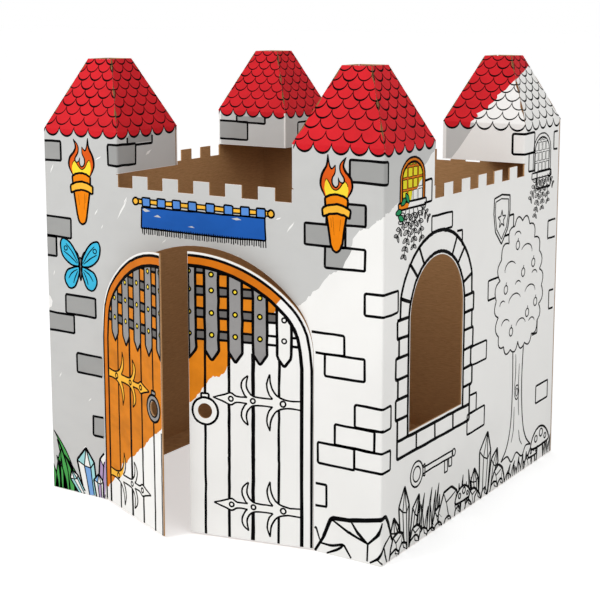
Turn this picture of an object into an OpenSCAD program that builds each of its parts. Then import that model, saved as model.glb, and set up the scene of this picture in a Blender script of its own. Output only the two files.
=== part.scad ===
// Cardboard castle: a colour-in play castle folded from two sheets of corrugated board.
// Millimetres. X runs along the front, Y runs to the back, Z runs up from the floor.

/* [Board] */
// Thickness of the corrugated board.
board_t = 4; // [3:0.5:5]
// Inside radius of every fold.
fold_r = 1; // [0.5:0.25:2]
// Air left between two boards that lie against each other.
board_clear = 0.2; // [0.1:0.1:0.4]

/* [Walls] */
// Outside width along the front.
castle_w = 960; // [920:5:1100]
// Outside depth from front to back.
castle_d = 960; // [920:5:1100]
// Height of the crease between tower and roof.
eave_h = 920; // [890:5:980]
// Width of the flaps that lie on the floor inside.
floor_flap_w = 80; // [50:5:110]
// Length of wall left plain at each end of a floor flap.
floor_flap_end = 20; // [10:5:60]
// Width of the glue laps inside two of the corners.
glue_lap_w = 40; // [25:5:60]

/* [Battlement] */
// Merlons between two towers.
merlons = 5; // [3:1:7]
// Height of a merlon above the notch floor.
merlon_rise = 30; // [20:5:45]

/* [Towers] */
// Outside width of each square tower.
tower_w = 232.5; // [205:2.5:245]
// Height of a tower between the merlon tops and the roof crease.
shaft_h = 100; // [70:5:140]
// Gap under the folded tower flaps.
flap_gap = 2; // [1:0.5:6]
// Width of the tuck lap inside each tower's inner corner.
tuck_lap_w = 35; // [20:5:60]
// Height of the roof above its crease.
roof_rise = 170; // [130:5:185]
// Lean of the roof panels from upright, in degrees.
roof_lean = 25; // [16:1:27]
// Width of the open seam along each hip.
hip_seam = 1; // [0.6:0.2:2]
// Width of the tuck laps behind each hip, in plan.
hip_lap_w = 20; // [12:1:30]
// Width of the finger notch at the top of each hip.
hip_notch_w = 6; // [3:0.5:10]
// Depth of the finger notch at the top of each hip.
hip_notch_h = 12; // [5:1:25]

/* [Gate] */
// Width of the gateway.
gate_w = 610; // [560:5:640]
// Height of wall left over the gate arch, up to the notch floors.
gate_head_h = 120; // [80:5:160]
// Height of the gate arch above its springing.
gate_rise = 220; // [195:5:240]
// Radius of the arch at its haunches.
gate_haunch_r = 160; // [120:5:180]
// Width of the cut around each leaf.
gate_cut = 0.8; // [0.6:0.1:1.5]
// Air under the leaves.
leaf_floor_gap = 4; // [3:1:12]
// Opening of the left leaf as shown, in degrees.
left_open = 24; // [0:1:90]
// Opening of the right leaf as shown, in degrees.
right_open = 12.5; // [0:0.5:90]
// Diameter of the finger holes.
finger_hole_d = 36; // [24:1:44]
// Height of the finger holes.
finger_hole_h = 300; // [220:5:380]
// Distance of the finger holes from the leaves' meeting edges.
finger_hole_inset = 40; // [35:1:70]

/* [Window] */
// Width of the side window.
window_w = 264; // [200:2:300]
// Height of the window sill.
window_sill_h = 275; // [220:5:320]
// Height of wall left over the window, up to the notch floors.
window_head_h = 131; // [90:1:180]
// Distance of the window's middle from the middle of the wall, towards the front.
window_offset = 226; // [0:1:260]

/* [Hidden] */
$fn = 96;
bend_r = fold_r + board_t;
merlon_top = eave_h - shaft_h;
crenel_h = merlon_top - merlon_rise;
gate_spring_h = crenel_h - gate_head_h - gate_rise;
window_spring_h = crenel_h - window_head_h - window_w / 2;
flap_foot = merlon_top + flap_gap;
flap_h = eave_h - flap_foot;
tower_half = tower_w / 2;
tower_x = castle_w / 2 - tower_half;
tower_y = castle_d / 2 - tower_half;
roof_slope = (roof_rise - bend_r * sin(roof_lean)) / cos(roof_lean);
roof_in = bend_r * (1 - cos(roof_lean)) + roof_slope * sin(roof_lean);
crown_r = (pow(gate_w / 2 - gate_haunch_r, 2) + pow(gate_rise, 2) - pow(gate_haunch_r, 2))
    / (2 * (gate_rise - gate_haunch_r));
crown_h = gate_spring_h + gate_rise - crown_r;
leaf_reach = (gate_w / 2 - gate_cut) * max(sin(left_open), sin(right_open));
// The frame's origin lies under the middle of the whole box, leaves ajar.
frame_shift = leaf_reach / 2;
big = 3 * max(castle_w, castle_d);

// Quarter turn of board about an upright fold, from one bearing to the next.
module corner_fold(x, y, bearing, foot, height) {
  translate([x, y, foot])
    rotate([0, 0, bearing])
      rotate_extrude(angle = 90)
        translate([fold_r, 0])
          square([board_t, height]);
}

// Board standing across the front: an outline in X and Z, outer face at y.
module front_board(y) {
  translate([0, y + board_t, 0])
    rotate([90, 0, 0])
      linear_extrude(board_t)
        children();
}

// Board standing along the side: an outline in Y and Z, outer face at x.
module side_board(x) {
  translate([x - board_t, 0, 0])
    rotate([90, 0, 90])
      linear_extrude(board_t)
        children();
}

// Wall with its battlement and tower faces, before any opening.
module wall_outline(span, low, high, flap_half) {
  cell = (span - 2 * tower_w) / (2 * merlons + 1);
  intersection() {
    translate([low, 0])
      square([high - low, eave_h]);
    difference() {
      union() {
        translate([-span / 2, 0])
          square([span, crenel_h]);
        for (i = [0 : merlons - 1])
          translate([-span / 2 + tower_w + (2 * i + 1) * cell, 0])
            square([cell, merlon_top]);
        for (side = [0, 1])
          mirror([side, 0]) {
            translate([-span / 2, 0])
              square([tower_w, merlon_top]);
            translate([-span / 2, 0])
              square([tower_w - bend_r, eave_h]);
          }
      }
      if (flap_half > 0)
        translate([-flap_half, -bend_r])
          square([2 * flap_half, 2 * bend_r]);
    }
  }
}

// Three-centred gate arch over straight jambs, drawn in by a margin all round.
module gate_outline(margin) {
  half = gate_w / 2 - gate_haunch_r;
  tangent = big * [half, gate_spring_h - crown_h];
  translate([margin - gate_w / 2, -1])
    square([gate_w - 2 * margin, gate_spring_h + 1]);
  for (side = [-1, 1])
    translate([side * half, gate_spring_h])
      circle(gate_haunch_r - margin);
  translate([0, crown_h])
    intersection() {
      circle(crown_r - margin);
      polygon([[0, 0], tangent, [-tangent[0], tangent[1]]]);
    }
}

// Round-headed window in the side wall.
module window_outline() {
  translate([-window_offset - window_w / 2, window_sill_h])
    square([window_w, window_spring_h - window_sill_h]);
  translate([-window_offset, window_spring_h])
    circle(window_w / 2);
}

// Flap on the floor along a wall of the given length, outer face towards -Y.
module floor_flap(length, out) {
  translate([0, out, 0]) {
    translate([-length / 2, bend_r, bend_r])
      rotate([0, 90, 0])
        rotate([0, 0, 270])
          rotate_extrude(angle = 90)
            translate([fold_r, 0])
              square([board_t, length]);
    linear_extrude(board_t)
      polygon([
        [-length / 2, bend_r],
        [length / 2, bend_r],
        [length / 2 - floor_flap_w, floor_flap_w],
        [floor_flap_w - length / 2, floor_flap_w]
      ]);
  }
}

// Roof board over the face towards -Y, laid so many millimetres behind the outer one.
module roof_board(behind) {
  translate([-tower_w, bend_r - tower_half, eave_h])
    rotate([-roof_lean, 0, 0])
      translate([0, behind - bend_r, 0])
        cube([2 * tower_w, board_t, roof_slope]);
}

// Tuck lap that carries a roof panel on behind its neighbour towards +X.
module hip_lap() {
  root = 0.6 * board_t;
  low = sqrt(2) * (tower_half - 3 * board_t);
  top = sqrt(2) * (tower_half - roof_in);
  intersection() {
    rotate([0, 0, 90])
      roof_board(board_t + board_clear);
    translate([0, 0, eave_h])
      rotate([0, 0, -45])
        linear_extrude(2 * roof_rise)
          polygon([
            [top, -root],
            [low, -root],
            [low - hip_lap_w, hip_lap_w],
            [top + hip_lap_w / 2, hip_lap_w]
          ]);
  }
}

// Roof panel over the face towards -Y, with its eave crease and mitred hips.
module roof_panel(with_laps) {
  seam = hip_seam / sqrt(2);
  difference() {
    intersection() {
      union() {
        translate([tower_w, bend_r - tower_half, eave_h])
          rotate([0, -90, 0])
            rotate([0, 0, 270])
              rotate_extrude(angle = roof_lean)
                translate([fold_r, 0])
                  square([board_t, 2 * tower_w]);
        roof_board(0);
      }
      translate([0, 0, eave_h - board_t])
        linear_extrude(2 * roof_rise)
          polygon([[0, -seam], [tower_w, -tower_w - seam], [-tower_w, -tower_w - seam]]);
    }
    for (bearing = [-45, -135])
      rotate([0, 0, bearing])
        translate([0, -hip_notch_w / 2, eave_h + roof_rise - hip_notch_h])
          cube([tower_w, hip_notch_w, 2 * hip_notch_h]);
  }
  if (with_laps)
    for (side = [0, 1])
      mirror([side, 0, 0])
        hip_lap();
}

// Inner flap hinged on a tower's front face, with the tuck lap at its free end.
module facing_flap() {
  free = tower_half - board_t - board_clear - bend_r;
  corner_fold(tower_half - bend_r, bend_r - tower_half, 270, flap_foot, flap_h);
  translate([tower_half - board_t, bend_r - tower_half, flap_foot])
    cube([board_t, free + tower_half - bend_r, flap_h]);
  corner_fold(tower_half - bend_r, free, 0, flap_foot, flap_h);
  translate([tower_half - bend_r - tuck_lap_w, free + fold_r, flap_foot])
    cube([tuck_lap_w, board_t, flap_h]);
}

// Inner flap hinged on a tower's side face, closing over the tuck lap.
module closing_flap() {
  corner_fold(tower_half - bend_r, tower_half - bend_r, 0, flap_foot, flap_h);
  translate([board_clear - tower_half, tower_half - board_t, flap_foot])
    cube([tower_w - bend_r - board_clear, board_t, flap_h]);
}

// One sheet: a wall across the front, a wall along the right side, and what is folded from them.
module folded_sheet(has_openings) {
  front_y = -castle_d / 2;
  side_x = castle_w / 2;
  side_end = castle_d / 2 - board_t - bend_r;
  side_flap = castle_d / 2 - floor_flap_end;
  front_flap = has_openings ? 0 : castle_w / 2 - floor_flap_end;
  front_board(front_y)
    difference() {
      wall_outline(castle_w, -side_x, side_x - bend_r, front_flap);
      if (has_openings)
        gate_outline(0);
    }
  corner_fold(side_x - bend_r, front_y + bend_r, 270, 0, eave_h);
  side_board(side_x)
    difference() {
      wall_outline(castle_d, front_y + bend_r, side_end, side_flap);
      if (has_openings)
        window_outline();
    }
  corner_fold(side_x - bend_r, side_end, 0, 0, eave_h);
  translate([side_x - bend_r - glue_lap_w, side_end + fold_r, bend_r + board_clear])
    cube([glue_lap_w, board_t, eave_h - 2 * bend_r]);
  rotate([0, 0, 90])
    floor_flap(2 * side_flap, -side_x);
  if (!has_openings)
    floor_flap(2 * front_flap, front_y);
  translate([-tower_x, -tower_y, 0]) {
    facing_flap();
    roof_panel(false);
    rotate([0, 0, 90])
      roof_panel(true);
  }
  translate([tower_x, -tower_y, 0]) {
    mirror([1, 0, 0])
      facing_flap();
    closing_flap();
    for (turn = [0 : 3])
      rotate([0, 0, 90 * turn])
        roof_panel(turn % 2 == 1);
  }
  translate([tower_x, tower_y, 0]) {
    mirror([0, 1, 0])
      closing_flap();
    roof_panel(false);
    rotate([0, 0, 90])
      roof_panel(true);
  }
}

// One leaf, hinged on its left edge along the outer face and shown ajar.
module gate_leaf(opening) {
  translate([-gate_w / 2, -castle_d / 2, 0])
    rotate([0, 0, -opening])
      translate([gate_w / 2, 0, 0])
        front_board(0)
          difference() {
            intersection() {
              gate_outline(gate_cut);
              translate([-gate_w, leaf_floor_gap])
                square([gate_w - gate_cut, gate_spring_h + gate_rise]);
            }
            translate([-finger_hole_inset, finger_hole_h])
              circle(d = finger_hole_d);
          }
}

module front_right_sheet() {
  color("WhiteSmoke")
    translate([0, frame_shift, 0])
      folded_sheet(true);
}

module back_left_sheet() {
  color("WhiteSmoke")
    translate([0, frame_shift, 0])
      rotate([0, 0, 180])
        folded_sheet(false);
}

module left_gate_leaf() {
  color("Orange")
    translate([0, frame_shift, 0])
      gate_leaf(left_open);
}

module right_gate_leaf() {
  color("Orange")
    translate([0, frame_shift, 0])
      mirror([1, 0, 0])
        gate_leaf(right_open);
}

front_right_sheet();
back_left_sheet();
left_gate_leaf();
right_gate_leaf();
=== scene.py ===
"""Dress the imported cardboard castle: white-lined board, ink and felt-pen print, plain studio."""

import logging
import math
import random
from dataclasses import dataclass, field
from enum import Enum
from functools import cached_property, partial
from typing import Callable, Iterable, Optional, Sequence

import bmesh
import bpy
from mathutils import Matrix, Vector


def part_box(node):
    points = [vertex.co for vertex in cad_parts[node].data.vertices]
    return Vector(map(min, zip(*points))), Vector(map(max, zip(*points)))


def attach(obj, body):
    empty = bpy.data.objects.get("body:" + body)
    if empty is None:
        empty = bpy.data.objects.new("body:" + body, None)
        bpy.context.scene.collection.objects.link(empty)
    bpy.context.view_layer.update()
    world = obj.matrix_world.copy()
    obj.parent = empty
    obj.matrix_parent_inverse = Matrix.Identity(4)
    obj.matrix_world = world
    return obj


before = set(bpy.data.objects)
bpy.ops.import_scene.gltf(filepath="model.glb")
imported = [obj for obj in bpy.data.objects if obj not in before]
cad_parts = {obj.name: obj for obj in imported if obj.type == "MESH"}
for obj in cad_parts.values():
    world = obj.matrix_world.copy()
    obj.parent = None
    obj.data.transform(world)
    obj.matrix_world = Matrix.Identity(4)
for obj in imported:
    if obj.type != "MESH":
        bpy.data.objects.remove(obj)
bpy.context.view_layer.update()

LOG = logging.getLogger("castle")

Point = tuple[float, float]
Path = list[Point]
Colour = tuple[float, float, float, float]

MM = 0.001
WHITE: Colour = (1.0, 1.0, 1.0, 1.0)

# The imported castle, in millimetres about the middle of its floor.
HALF = 480.0
EAVE = 920.0
TOWER_HALF = 116.25
TOWER_AT = HALF - TOWER_HALF
FLAP_FOOT = 822.0
BEND = 5.0
ROOF_LEAN = math.radians(25.0)
ROOF_TOP = 187.2
GLUED_END = 470.0
SIDE_AT = 2 * HALF
FRAME_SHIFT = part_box("back_left_sheet")[1].y / MM - HALF

# The gate's three-centred arch: its jambs, then its shoulders and its crown by centre and radius.
GATE_HALF = 305.0
SHOULDER_AT, SHOULDER_UP, SHOULDER_R = 145.0, 450.0, 160.0
CROWN_UP, CROWN_R = 304.8, 365.2

# The pen: its weight, how it turns corners, how steady it is, and where the drawn ground lies.
PEN_WEIGHT = 1.2
CORNER_SHARE = 0.7
LINE_WOBBLE = 0.35
LINE_STEP = 22.0
COVER_STEP = 1.6
GROUND = 1.6


class Pigment(Enum):
    """Every ink and felt-pen colour: sRGB code, lift of its top in millimetres, and streakiness."""

    WALL_GREY = ("C6C6C4", 0.12, 0.035)
    BRICK_GREY = ("9F9F9D", 0.18, 0.05)
    PLANK_ORANGE = ("D97F16", 0.20, 0.24)
    FRAME_ORANGE = ("D4720C", 0.21, 0.16)
    TILE_RED = ("D21C26", 0.20, 0.15)
    UNDER_INK = ("070708", 0.235)
    IRON_DARK = ("696664", 0.26)
    PANE_YELLOW = ("E4D828", 0.26)
    FLAME_RED = ("DE5A14", 0.26)
    CLOTH_BLUE = ("1A59AE", 0.26)
    WING_BLUE = ("3DB8DD", 0.26)
    GRASS_GREEN = ("4AA350", 0.25)
    GEM_BLUE = ("78A4DA", 0.26)
    GEM_TEAL = ("A2D8DA", 0.27)
    GEM_LILAC = ("AE96BC", 0.28)
    TORCH_ORANGE = ("EE8404", 0.28)
    IRON_GREY = ("939190", 0.30)
    BARE_WHITE = ("F1F0EC", 0.31, 0.01)
    BRASS = ("F9B93A", 0.32)
    FLAME_YELLOW = ("F7D936", 0.34)
    TAB_BLUE = ("568CD6", 0.35)
    LEAF_GREEN = ("1B8A55", 0.36)
    CREASE_BROWN = ("8A6238", 0.37)
    INK = ("070708", 0.40)

    def __init__(self, code: str, lift: float, streak: float = 0.12) -> None:
        """Keep the colour's values under their names."""
        self.code, self.lift, self.streak = code, lift, streak

    @property
    def label(self) -> str:
        """Name used in piece and material names."""
        return self.name.lower()

    @property
    def is_ink(self) -> bool:
        """Whether it is printed in lines, not coloured in."""
        return self in (Pigment.INK, Pigment.UNDER_INK)


class RunsOut(Enum):
    """The edge at which a brick is left open."""

    NOWHERE = 0
    LEFT = 1
    RIGHT = 2


class Bond(Enum):
    """How a few bricks lie together, in bricks across and up."""

    SINGLE = ((0.0, 0.0),)
    PAIR = ((0.0, 0.0), (0.5, 1.0))
    STACK = ((0.0, 0.0), (1.0, 0.0), (0.5, 1.0))


BrickRow = tuple[float, float, float, float, RunsOut]


class Side(Enum):
    """The four faces of a tower, by the way they look, as quarter turns from the front."""

    FRONT = 0
    RIGHT = 1
    BACK = 2
    LEFT = 3


def linear(code: str) -> Colour:
    """Linear colour, with alpha, of an sRGB hex code."""
    parts = [int(code[i : i + 2], 16) / 255.0 for i in (0, 2, 4)]
    return (*(c / 12.92 if c <= 0.04045 else ((c + 0.055) / 1.055) ** 2.4 for c in parts), 1.0)


@dataclass
class NodeBench:
    """Short hand for wiring the nodes of a material or of the world."""

    owner: bpy.types.ID

    def __post_init__(self) -> None:
        """Turn the owner's nodes on and find its shader."""
        self.owner.use_nodes = True
        self.tree = self.owner.node_tree
        self.shader = self.tree.nodes.get("Principled BSDF") or self.tree.nodes["Background"]

    @cached_property
    def place(self) -> bpy.types.bpy_prop_collection:
        """Outputs of the Texture Coordinate node."""
        return self.tree.nodes.new("ShaderNodeTexCoord").outputs

    def feed(self, socket: bpy.types.NodeSocket, value: object) -> None:
        """Link a socket to another, or set its value.

        Args:
            socket: Input to feed.
            value: Value or socket.
        """
        if isinstance(value, bpy.types.NodeSocket):
            self.tree.links.new(value, socket)
        else:
            socket.default_value = value

    def wire(self, node: bpy.types.Node, **inputs: object) -> bpy.types.Node:
        """Set or link a node's inputs by name.

        Args:
            node: Node to wire.
            **inputs: Values or sockets, by input name with underscores for spaces.

        Returns:
            The same node.
        """
        for name, value in inputs.items():
            self.feed(node.inputs[name.replace("_", " ")], value)
        return node

    def add(self, kind: str, **inputs: object) -> bpy.types.Node:
        """Add a node of Blender's kind and wire its inputs by name."""
        return self.wire(self.tree.nodes.new(kind), **inputs)

    def row(self, kind: str, *values: object, **settings: object) -> bpy.types.NodeSocket:
        """Add a node and feed its inputs in their order.

        Args:
            kind: Blender's node type.
            *values: Values or sockets.
            **settings: The node's own settings.

        Returns:
            The node's first output.
        """
        node = self.tree.nodes.new(kind)
        for name, value in settings.items():
            setattr(node, name, value)
        for socket, value in zip(node.inputs, values):
            self.feed(socket, value)
        return node.outputs[0]

    def math(self, operation: str, *values: object) -> bpy.types.NodeSocket:
        """Output of a Math node on numbers or sockets."""
        return self.row("ShaderNodeMath", *values, operation=operation)

    def mix(self, factor: object, first: object, second: object) -> bpy.types.NodeSocket:
        """Mix two colours.

        Args:
            factor: Share of the second colour.
            first: First colour or socket.
            second: Second colour or socket.

        Returns:
            The mixed colour's socket.
        """
        node = self.tree.nodes.new("ShaderNodeMix")
        node.data_type = "RGBA"
        for index, value in ((0, factor), (6, first), (7, second)):
            self.feed(node.inputs[index], value)
        return node.outputs[2]

    def noise(self, scale: float, detail: float, stretch: Sequence[float] = (1, 1, 1),
              turn: Sequence[float] = (0, 0, 0)) -> bpy.types.NodeSocket:
        """Add noise on Object coordinates.

        Args:
            scale: Cells per metre.
            detail: Octaves.
            stretch: Factor on each axis.
            turn: Turn of the pattern, in radians.

        Returns:
            The noise value's socket.
        """
        mapping = self.add("ShaderNodeMapping", Vector=self.place["Object"], Scale=stretch,
                           Rotation=turn)
        texture = self.add("ShaderNodeTexNoise", Vector=mapping.outputs[0], Scale=scale,
                           Detail=detail)
        return texture.outputs[0]

    def ramp(self, value: object, low: float, high: float, to_low: float,
             to_high: float) -> bpy.types.NodeSocket:
        """Map a value from one span to another, clamped."""
        return self.row("ShaderNodeMapRange", value, low, high, to_low, to_high)

    def bump(self, height: object, depth: float, **inputs: object) -> bpy.types.NodeSocket:
        """Normal of a bump of a depth in metres, on a Normal below it where one is given."""
        return self.add("ShaderNodeBump", Height=height, Distance=depth, **inputs).outputs[0]


@dataclass(frozen=True)
class PenFinish:
    """Felt pen or printing ink on coated paper."""

    pigment: Pigment
    roughness: float = 0.6
    gloss: float = 0.1
    ink_gloss: float = 0.015

    def tone(self, share: float) -> Colour:
        """The pigment, paler or darker by a share."""
        red, green, blue, alpha = linear(self.pigment.code)
        return (*(min(c * (1.0 + share), 1.0) for c in (red, green, blue)), alpha)

    def material(self) -> bpy.types.Material:
        """Build the finish: overlapping pen strokes, pooled spots and paper grain.

        Returns:
            The material.
        """
        name = "finish_" + self.pigment.label
        if name in bpy.data.materials:
            return bpy.data.materials[name]
        bench = NodeBench(bpy.data.materials.new(name))
        streak = self.pigment.streak
        strokes = bench.noise(16.0, 2.0, (1.0, 1.0, 2.0), (0.5, 0.9, 0.3))
        pools = bench.noise(7.0, 3.0)
        grain = bench.noise(900.0, 2.0)
        toned = bench.mix(bench.ramp(strokes, 0.42, 0.68, 0.0, 0.5), self.tone(0.0),
                          self.tone(-1.6 * streak))
        bench.wire(
            bench.shader,
            Base_Color=bench.mix(bench.ramp(pools, 0.45, 0.75, 0.0, 0.7), toned,
                                 self.tone(0.9 * streak)),
            Roughness=bench.ramp(grain, 0.3, 0.7, self.roughness - 0.06, self.roughness + 0.08),
            Normal=bench.bump(grain, 0.0002, Strength=0.12),
            Specular_IOR_Level=self.ink_gloss if self.pigment.is_ink else self.gloss)
        return bench.owner


@dataclass(frozen=True)
class BoardFinish:
    """Corrugated board: a white printed liner outside, raw kraft inside and on every cut edge."""

    name: str
    is_leaf: bool
    liner: str = "F4F3F0"
    liner_shade: str = "EAE9E6"
    kraft: str = "BB9062"
    kraft_dark: str = "9A7349"
    kraft_fleck: str = "5E4026"
    flute_pitch: float = 0.0075
    gloss: float = 0.3

    def outside(self, bench: NodeBench) -> bpy.types.NodeSocket:
        """Mask of the board's printed side, from place and object normal.

        Args:
            bench: The material being wired.

        Returns:
            Socket that is one on the liner and zero on the kraft.
        """
        x, y, z = bench.add("ShaderNodeSeparateXYZ", Vector=bench.place["Object"]).outputs
        nx, ny, _ = bench.add("ShaderNodeSeparateXYZ", Vector=bench.place["Normal"]).outputs
        if self.is_leaf:
            return bench.math("LESS_THAN", ny, -0.5)
        y = bench.math("SUBTRACT", y, FRAME_SHIFT * MM)
        faces, reach = [], []
        for at, normal in ((x, nx), (y, ny)):
            sign = bench.math("SIGN", at)
            edge = bench.math("GREATER_THAN", bench.math("ABSOLUTE", at), (HALF - 1.5) * MM)
            looks = bench.math("GREATER_THAN", bench.math("MULTIPLY", normal, sign), 0.1)
            faces.append(bench.math("MULTIPLY", edge, looks))
            out = bench.math("SUBTRACT", at, bench.math("MULTIPLY", sign, TOWER_AT * MM))
            reach.append(bench.math("MULTIPLY", out, normal))
        wall = bench.math("MAXIMUM", *faces)
        tower = bench.math("GREATER_THAN", bench.math("ADD", *reach), 0.02)
        high = bench.math("GREATER_THAN", z, (FLAP_FOOT - 1.0) * MM)
        low = bench.math("SUBTRACT", 1.0, high)
        return bench.math("ADD", bench.math("MULTIPLY", wall, low),
                          bench.math("MULTIPLY", tower, high))

    def material(self) -> bpy.types.Material:
        """Build the finish: liner tone and grain, kraft fibres, and the flutes that show through.

        Returns:
            The material.
        """
        bench = NodeBench(bpy.data.materials.new(self.name))
        mask = self.outside(bench)
        cloud = bench.ramp(bench.noise(3.0, 3.0), 0.4, 0.7, 0.0, 1.0)
        fibre = bench.ramp(bench.noise(60.0, 5.0, (1.0, 1.0, 14.0)), 0.35, 0.7, 0.0, 0.75)
        fleck = bench.ramp(bench.noise(420.0, 2.0, (1.0, 1.0, 0.35)), 0.66, 0.74, 0.0, 0.45)
        liner = bench.mix(cloud, linear(self.liner), linear(self.liner_shade))
        kraft = bench.mix(fibre, linear(self.kraft), linear(self.kraft_dark))
        kraft = bench.mix(fleck, kraft, linear(self.kraft_fleck))
        x, y, _ = bench.add("ShaderNodeSeparateXYZ", Vector=bench.place["Object"]).outputs
        sweep = bench.math("MULTIPLY", bench.math("ADD", x, y), 2.0 * math.pi / self.flute_pitch)
        washboard = bench.bump(bench.math("SINE", sweep), 0.0004, Strength=0.06)
        bench.wire(
            bench.shader,
            Base_Color=bench.mix(mask, kraft, liner),
            Roughness=bench.ramp(mask, 0.0, 1.0, 0.85, 0.52),
            Normal=bench.bump(bench.noise(1100.0, 2.0), 0.0003, Strength=0.12, Normal=washboard),
            Specular_IOR_Level=self.gloss)
        return bench.owner


def smoothed(points: Sequence[Point], closed: bool = False, step: int = 5) -> Path:
    """Run a Catmull-Rom curve through points.

    Args:
        points: Points to pass through.
        closed: Whether the last point joins the first.
        step: Samples between two points.

    Returns:
        The sampled curve.
    """
    count = len(points)
    path: Path = []
    for i in range(count if closed else count - 1):
        near = range(i - 1, i + 3)
        a, b, c, d = (points[k % count if closed else min(max(k, 0), count - 1)] for k in near)
        for t in (j / step for j in range(step)):
            path.append(tuple(
                0.5 * (2 * b[k] + (c[k] - a[k]) * t
                       + (2 * a[k] - 5 * b[k] + 4 * c[k] - d[k]) * t * t
                       + (3 * b[k] - a[k] - 3 * c[k] + d[k]) * t ** 3)
                for k in (0, 1)))
    return path if closed else path + [tuple(points[-1])]


def arc(at: Point, radius: float, start: float, end: float, count: int = 16,
        squash: float = 1.0) -> Path:
    """Points on an arc from start to end in degrees, in so many spans, squashed in height."""
    turns = [math.radians(start + (end - start) * i / count) for i in range(count + 1)]
    return [(at[0] + radius * math.cos(t), at[1] + squash * radius * math.sin(t)) for t in turns]


def disc(centre: Point, radius: float, count: int = 16) -> Path:
    """Points round a circle."""
    return arc(centre, radius, 0, 360, count)[:-1]


def box_path(left: float, right: float, low: float, high: float) -> Path:
    """Corners of an upright rectangle."""
    return [(left, low), (right, low), (right, high), (left, high)]


def moved(points: Iterable[Point], across: float, up: float = 0.0, flip: bool = False) -> Path:
    """Carry a motif to its place, mirrored left to right if asked."""
    return [(across - u if flip else across + u, up + v) for u, v in points]


# Carries points from along the right side to along the ring of walls.
on_side = partial(moved, across=SIDE_AT)


def stood(points: Iterable[Point], foot: Point, wide: float, tall: float,
          turn: float = 0.0) -> Path:
    """Stretch a motif, lean it and stand it on its foot.

    Args:
        points: The motif about its own foot.
        foot: Where it stands.
        wide: Factor across.
        tall: Factor up.
        turn: Lean to the left in degrees.

    Returns:
        The motif in its place.
    """
    cosine, sine = math.cos(math.radians(turn)), math.sin(math.radians(turn))
    return [(foot[0] + u * wide * cosine - v * tall * sine,
             foot[1] + u * wide * sine + v * tall * cosine)
            for u, v in points]


def lozenge(middle: Point, turn: float, length: float, width: float,
            slip: Point = (0.0, 0.0)) -> Path:
    """Four corners of a leaf or fleck.

    Args:
        middle: Its middle.
        turn: Its direction, in radians.
        length: Length along that direction.
        width: Width across.
        slip: Where its two side corners stand, as shares of its length from the middle.

    Returns:
        Its corners.
    """
    at, way = Vector(middle), Vector((math.cos(turn), math.sin(turn)))
    side = Vector((-math.sin(turn), math.cos(turn)))
    along, out = way * length, side * width * 0.5
    return [tuple(p) for p in (at - along / 2, at + along * slip[0] + out,
                               at + along / 2, at + along * slip[1] - out)]


def frayed(hand: random.Random, border: Sequence[Point], parts: int, slip: Point) -> Path:
    """Roughen the edge of a coloured field.

    Args:
        hand: Source of the unsteadiness.
        border: Points along the edge.
        parts: Samples between two points.
        slip: How far a sample strays across and up.

    Returns:
        The roughened edge, without its last point.
    """
    path: Path = []
    for a, b in zip(border, border[1:]):
        for t in (j / parts for j in range(parts)):
            path.append(tuple(a[k] + (b[k] - a[k]) * t + hand.uniform(-slip[k], slip[k])
                              for k in (0, 1)))
    return path


def rounded(points: Sequence[Point], radius: float, closed: bool) -> Path:
    """Round off a line's corners so that the pen keeps its width.

    Args:
        points: Corner points.
        radius: Length taken back from each corner.
        closed: Whether the line closes.

    Returns:
        The line with its corners turned.
    """
    count = len(points)
    path: Path = []
    for i, corner in enumerate(points):
        if not closed and i in (0, count - 1):
            path.append(tuple(corner))
            continue
        here = Vector(corner)
        ends = []
        for other in (points[i - 1], points[(i + 1) % count]):
            way = Vector(other) - here
            ends.append(here + way.normalized() * min(radius, 0.45 * way.length))
        for t in (0.0, 0.33, 0.67, 1.0):
            spot = ends[0] * (1 - t) ** 2 + here * (2 * t * (1 - t)) + ends[1] * t * t
            path.append((spot.x, spot.y))
    return path


def inside(spot: Point, outline: Sequence[Point]) -> bool:
    """Whether a point lies inside a closed outline.

    Args:
        spot: Point to test.
        outline: The outline's corners.

    Returns:
        True inside.
    """
    u, v = spot
    found = False
    for (a, b), (c, d) in zip(outline, [*outline[1:], outline[0]]):
        if (b > v) != (d > v) and u < a + (c - a) * (v - b) / (d - b):
            found = not found
    return found


@dataclass
class Stroke:
    """One inked line: its points, the pen's width at each, and whether it closes."""

    points: Path
    widths: list[float]
    closed: bool
    under: bool = False

    def dense(self) -> list[tuple[Point, float]]:
        """Points and widths with no wide gaps between them.

        Returns:
            Points with their widths.
        """
        spots = list(zip(self.points, self.widths))
        ends = spots[1:] + (spots[:1] if self.closed else [])
        made = []
        for (a, first), (b, last) in zip(spots, ends):
            parts = max(1, int(math.dist(a, b) / COVER_STEP))
            for s in (j / parts for j in range(parts)):
                made.append(((a[0] + (b[0] - a[0]) * s, a[1] + (b[1] - a[1]) * s),
                             first + (last - first) * s))
        return made + [spots[0] if self.closed else spots[-1]]

    def outside(self, outline: Sequence[Point]) -> list["Stroke"]:
        """What is left of the line where a nearer drawing lies over it.

        Args:
            outline: Edge of the nearer drawing.

        Returns:
            The runs that stay in sight.
        """
        for k in (0, 1):
            mine, other = [p[k] for p in self.points], [p[k] for p in outline]
            if max(mine) < min(other) or min(mine) > max(other):
                return [self]
        spots = self.dense()
        hidden = [inside(spot, outline) for spot, _ in spots]
        if not any(hidden):
            return [self]
        runs: list[list[tuple[Point, float]]] = [[]]
        for spot, is_hidden in zip(spots, hidden):
            if is_hidden:
                runs.append([])
            else:
                runs[-1].append(spot)
        return [Stroke(*map(list, zip(*run)), False, self.under) for run in runs if len(run) > 2]


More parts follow.
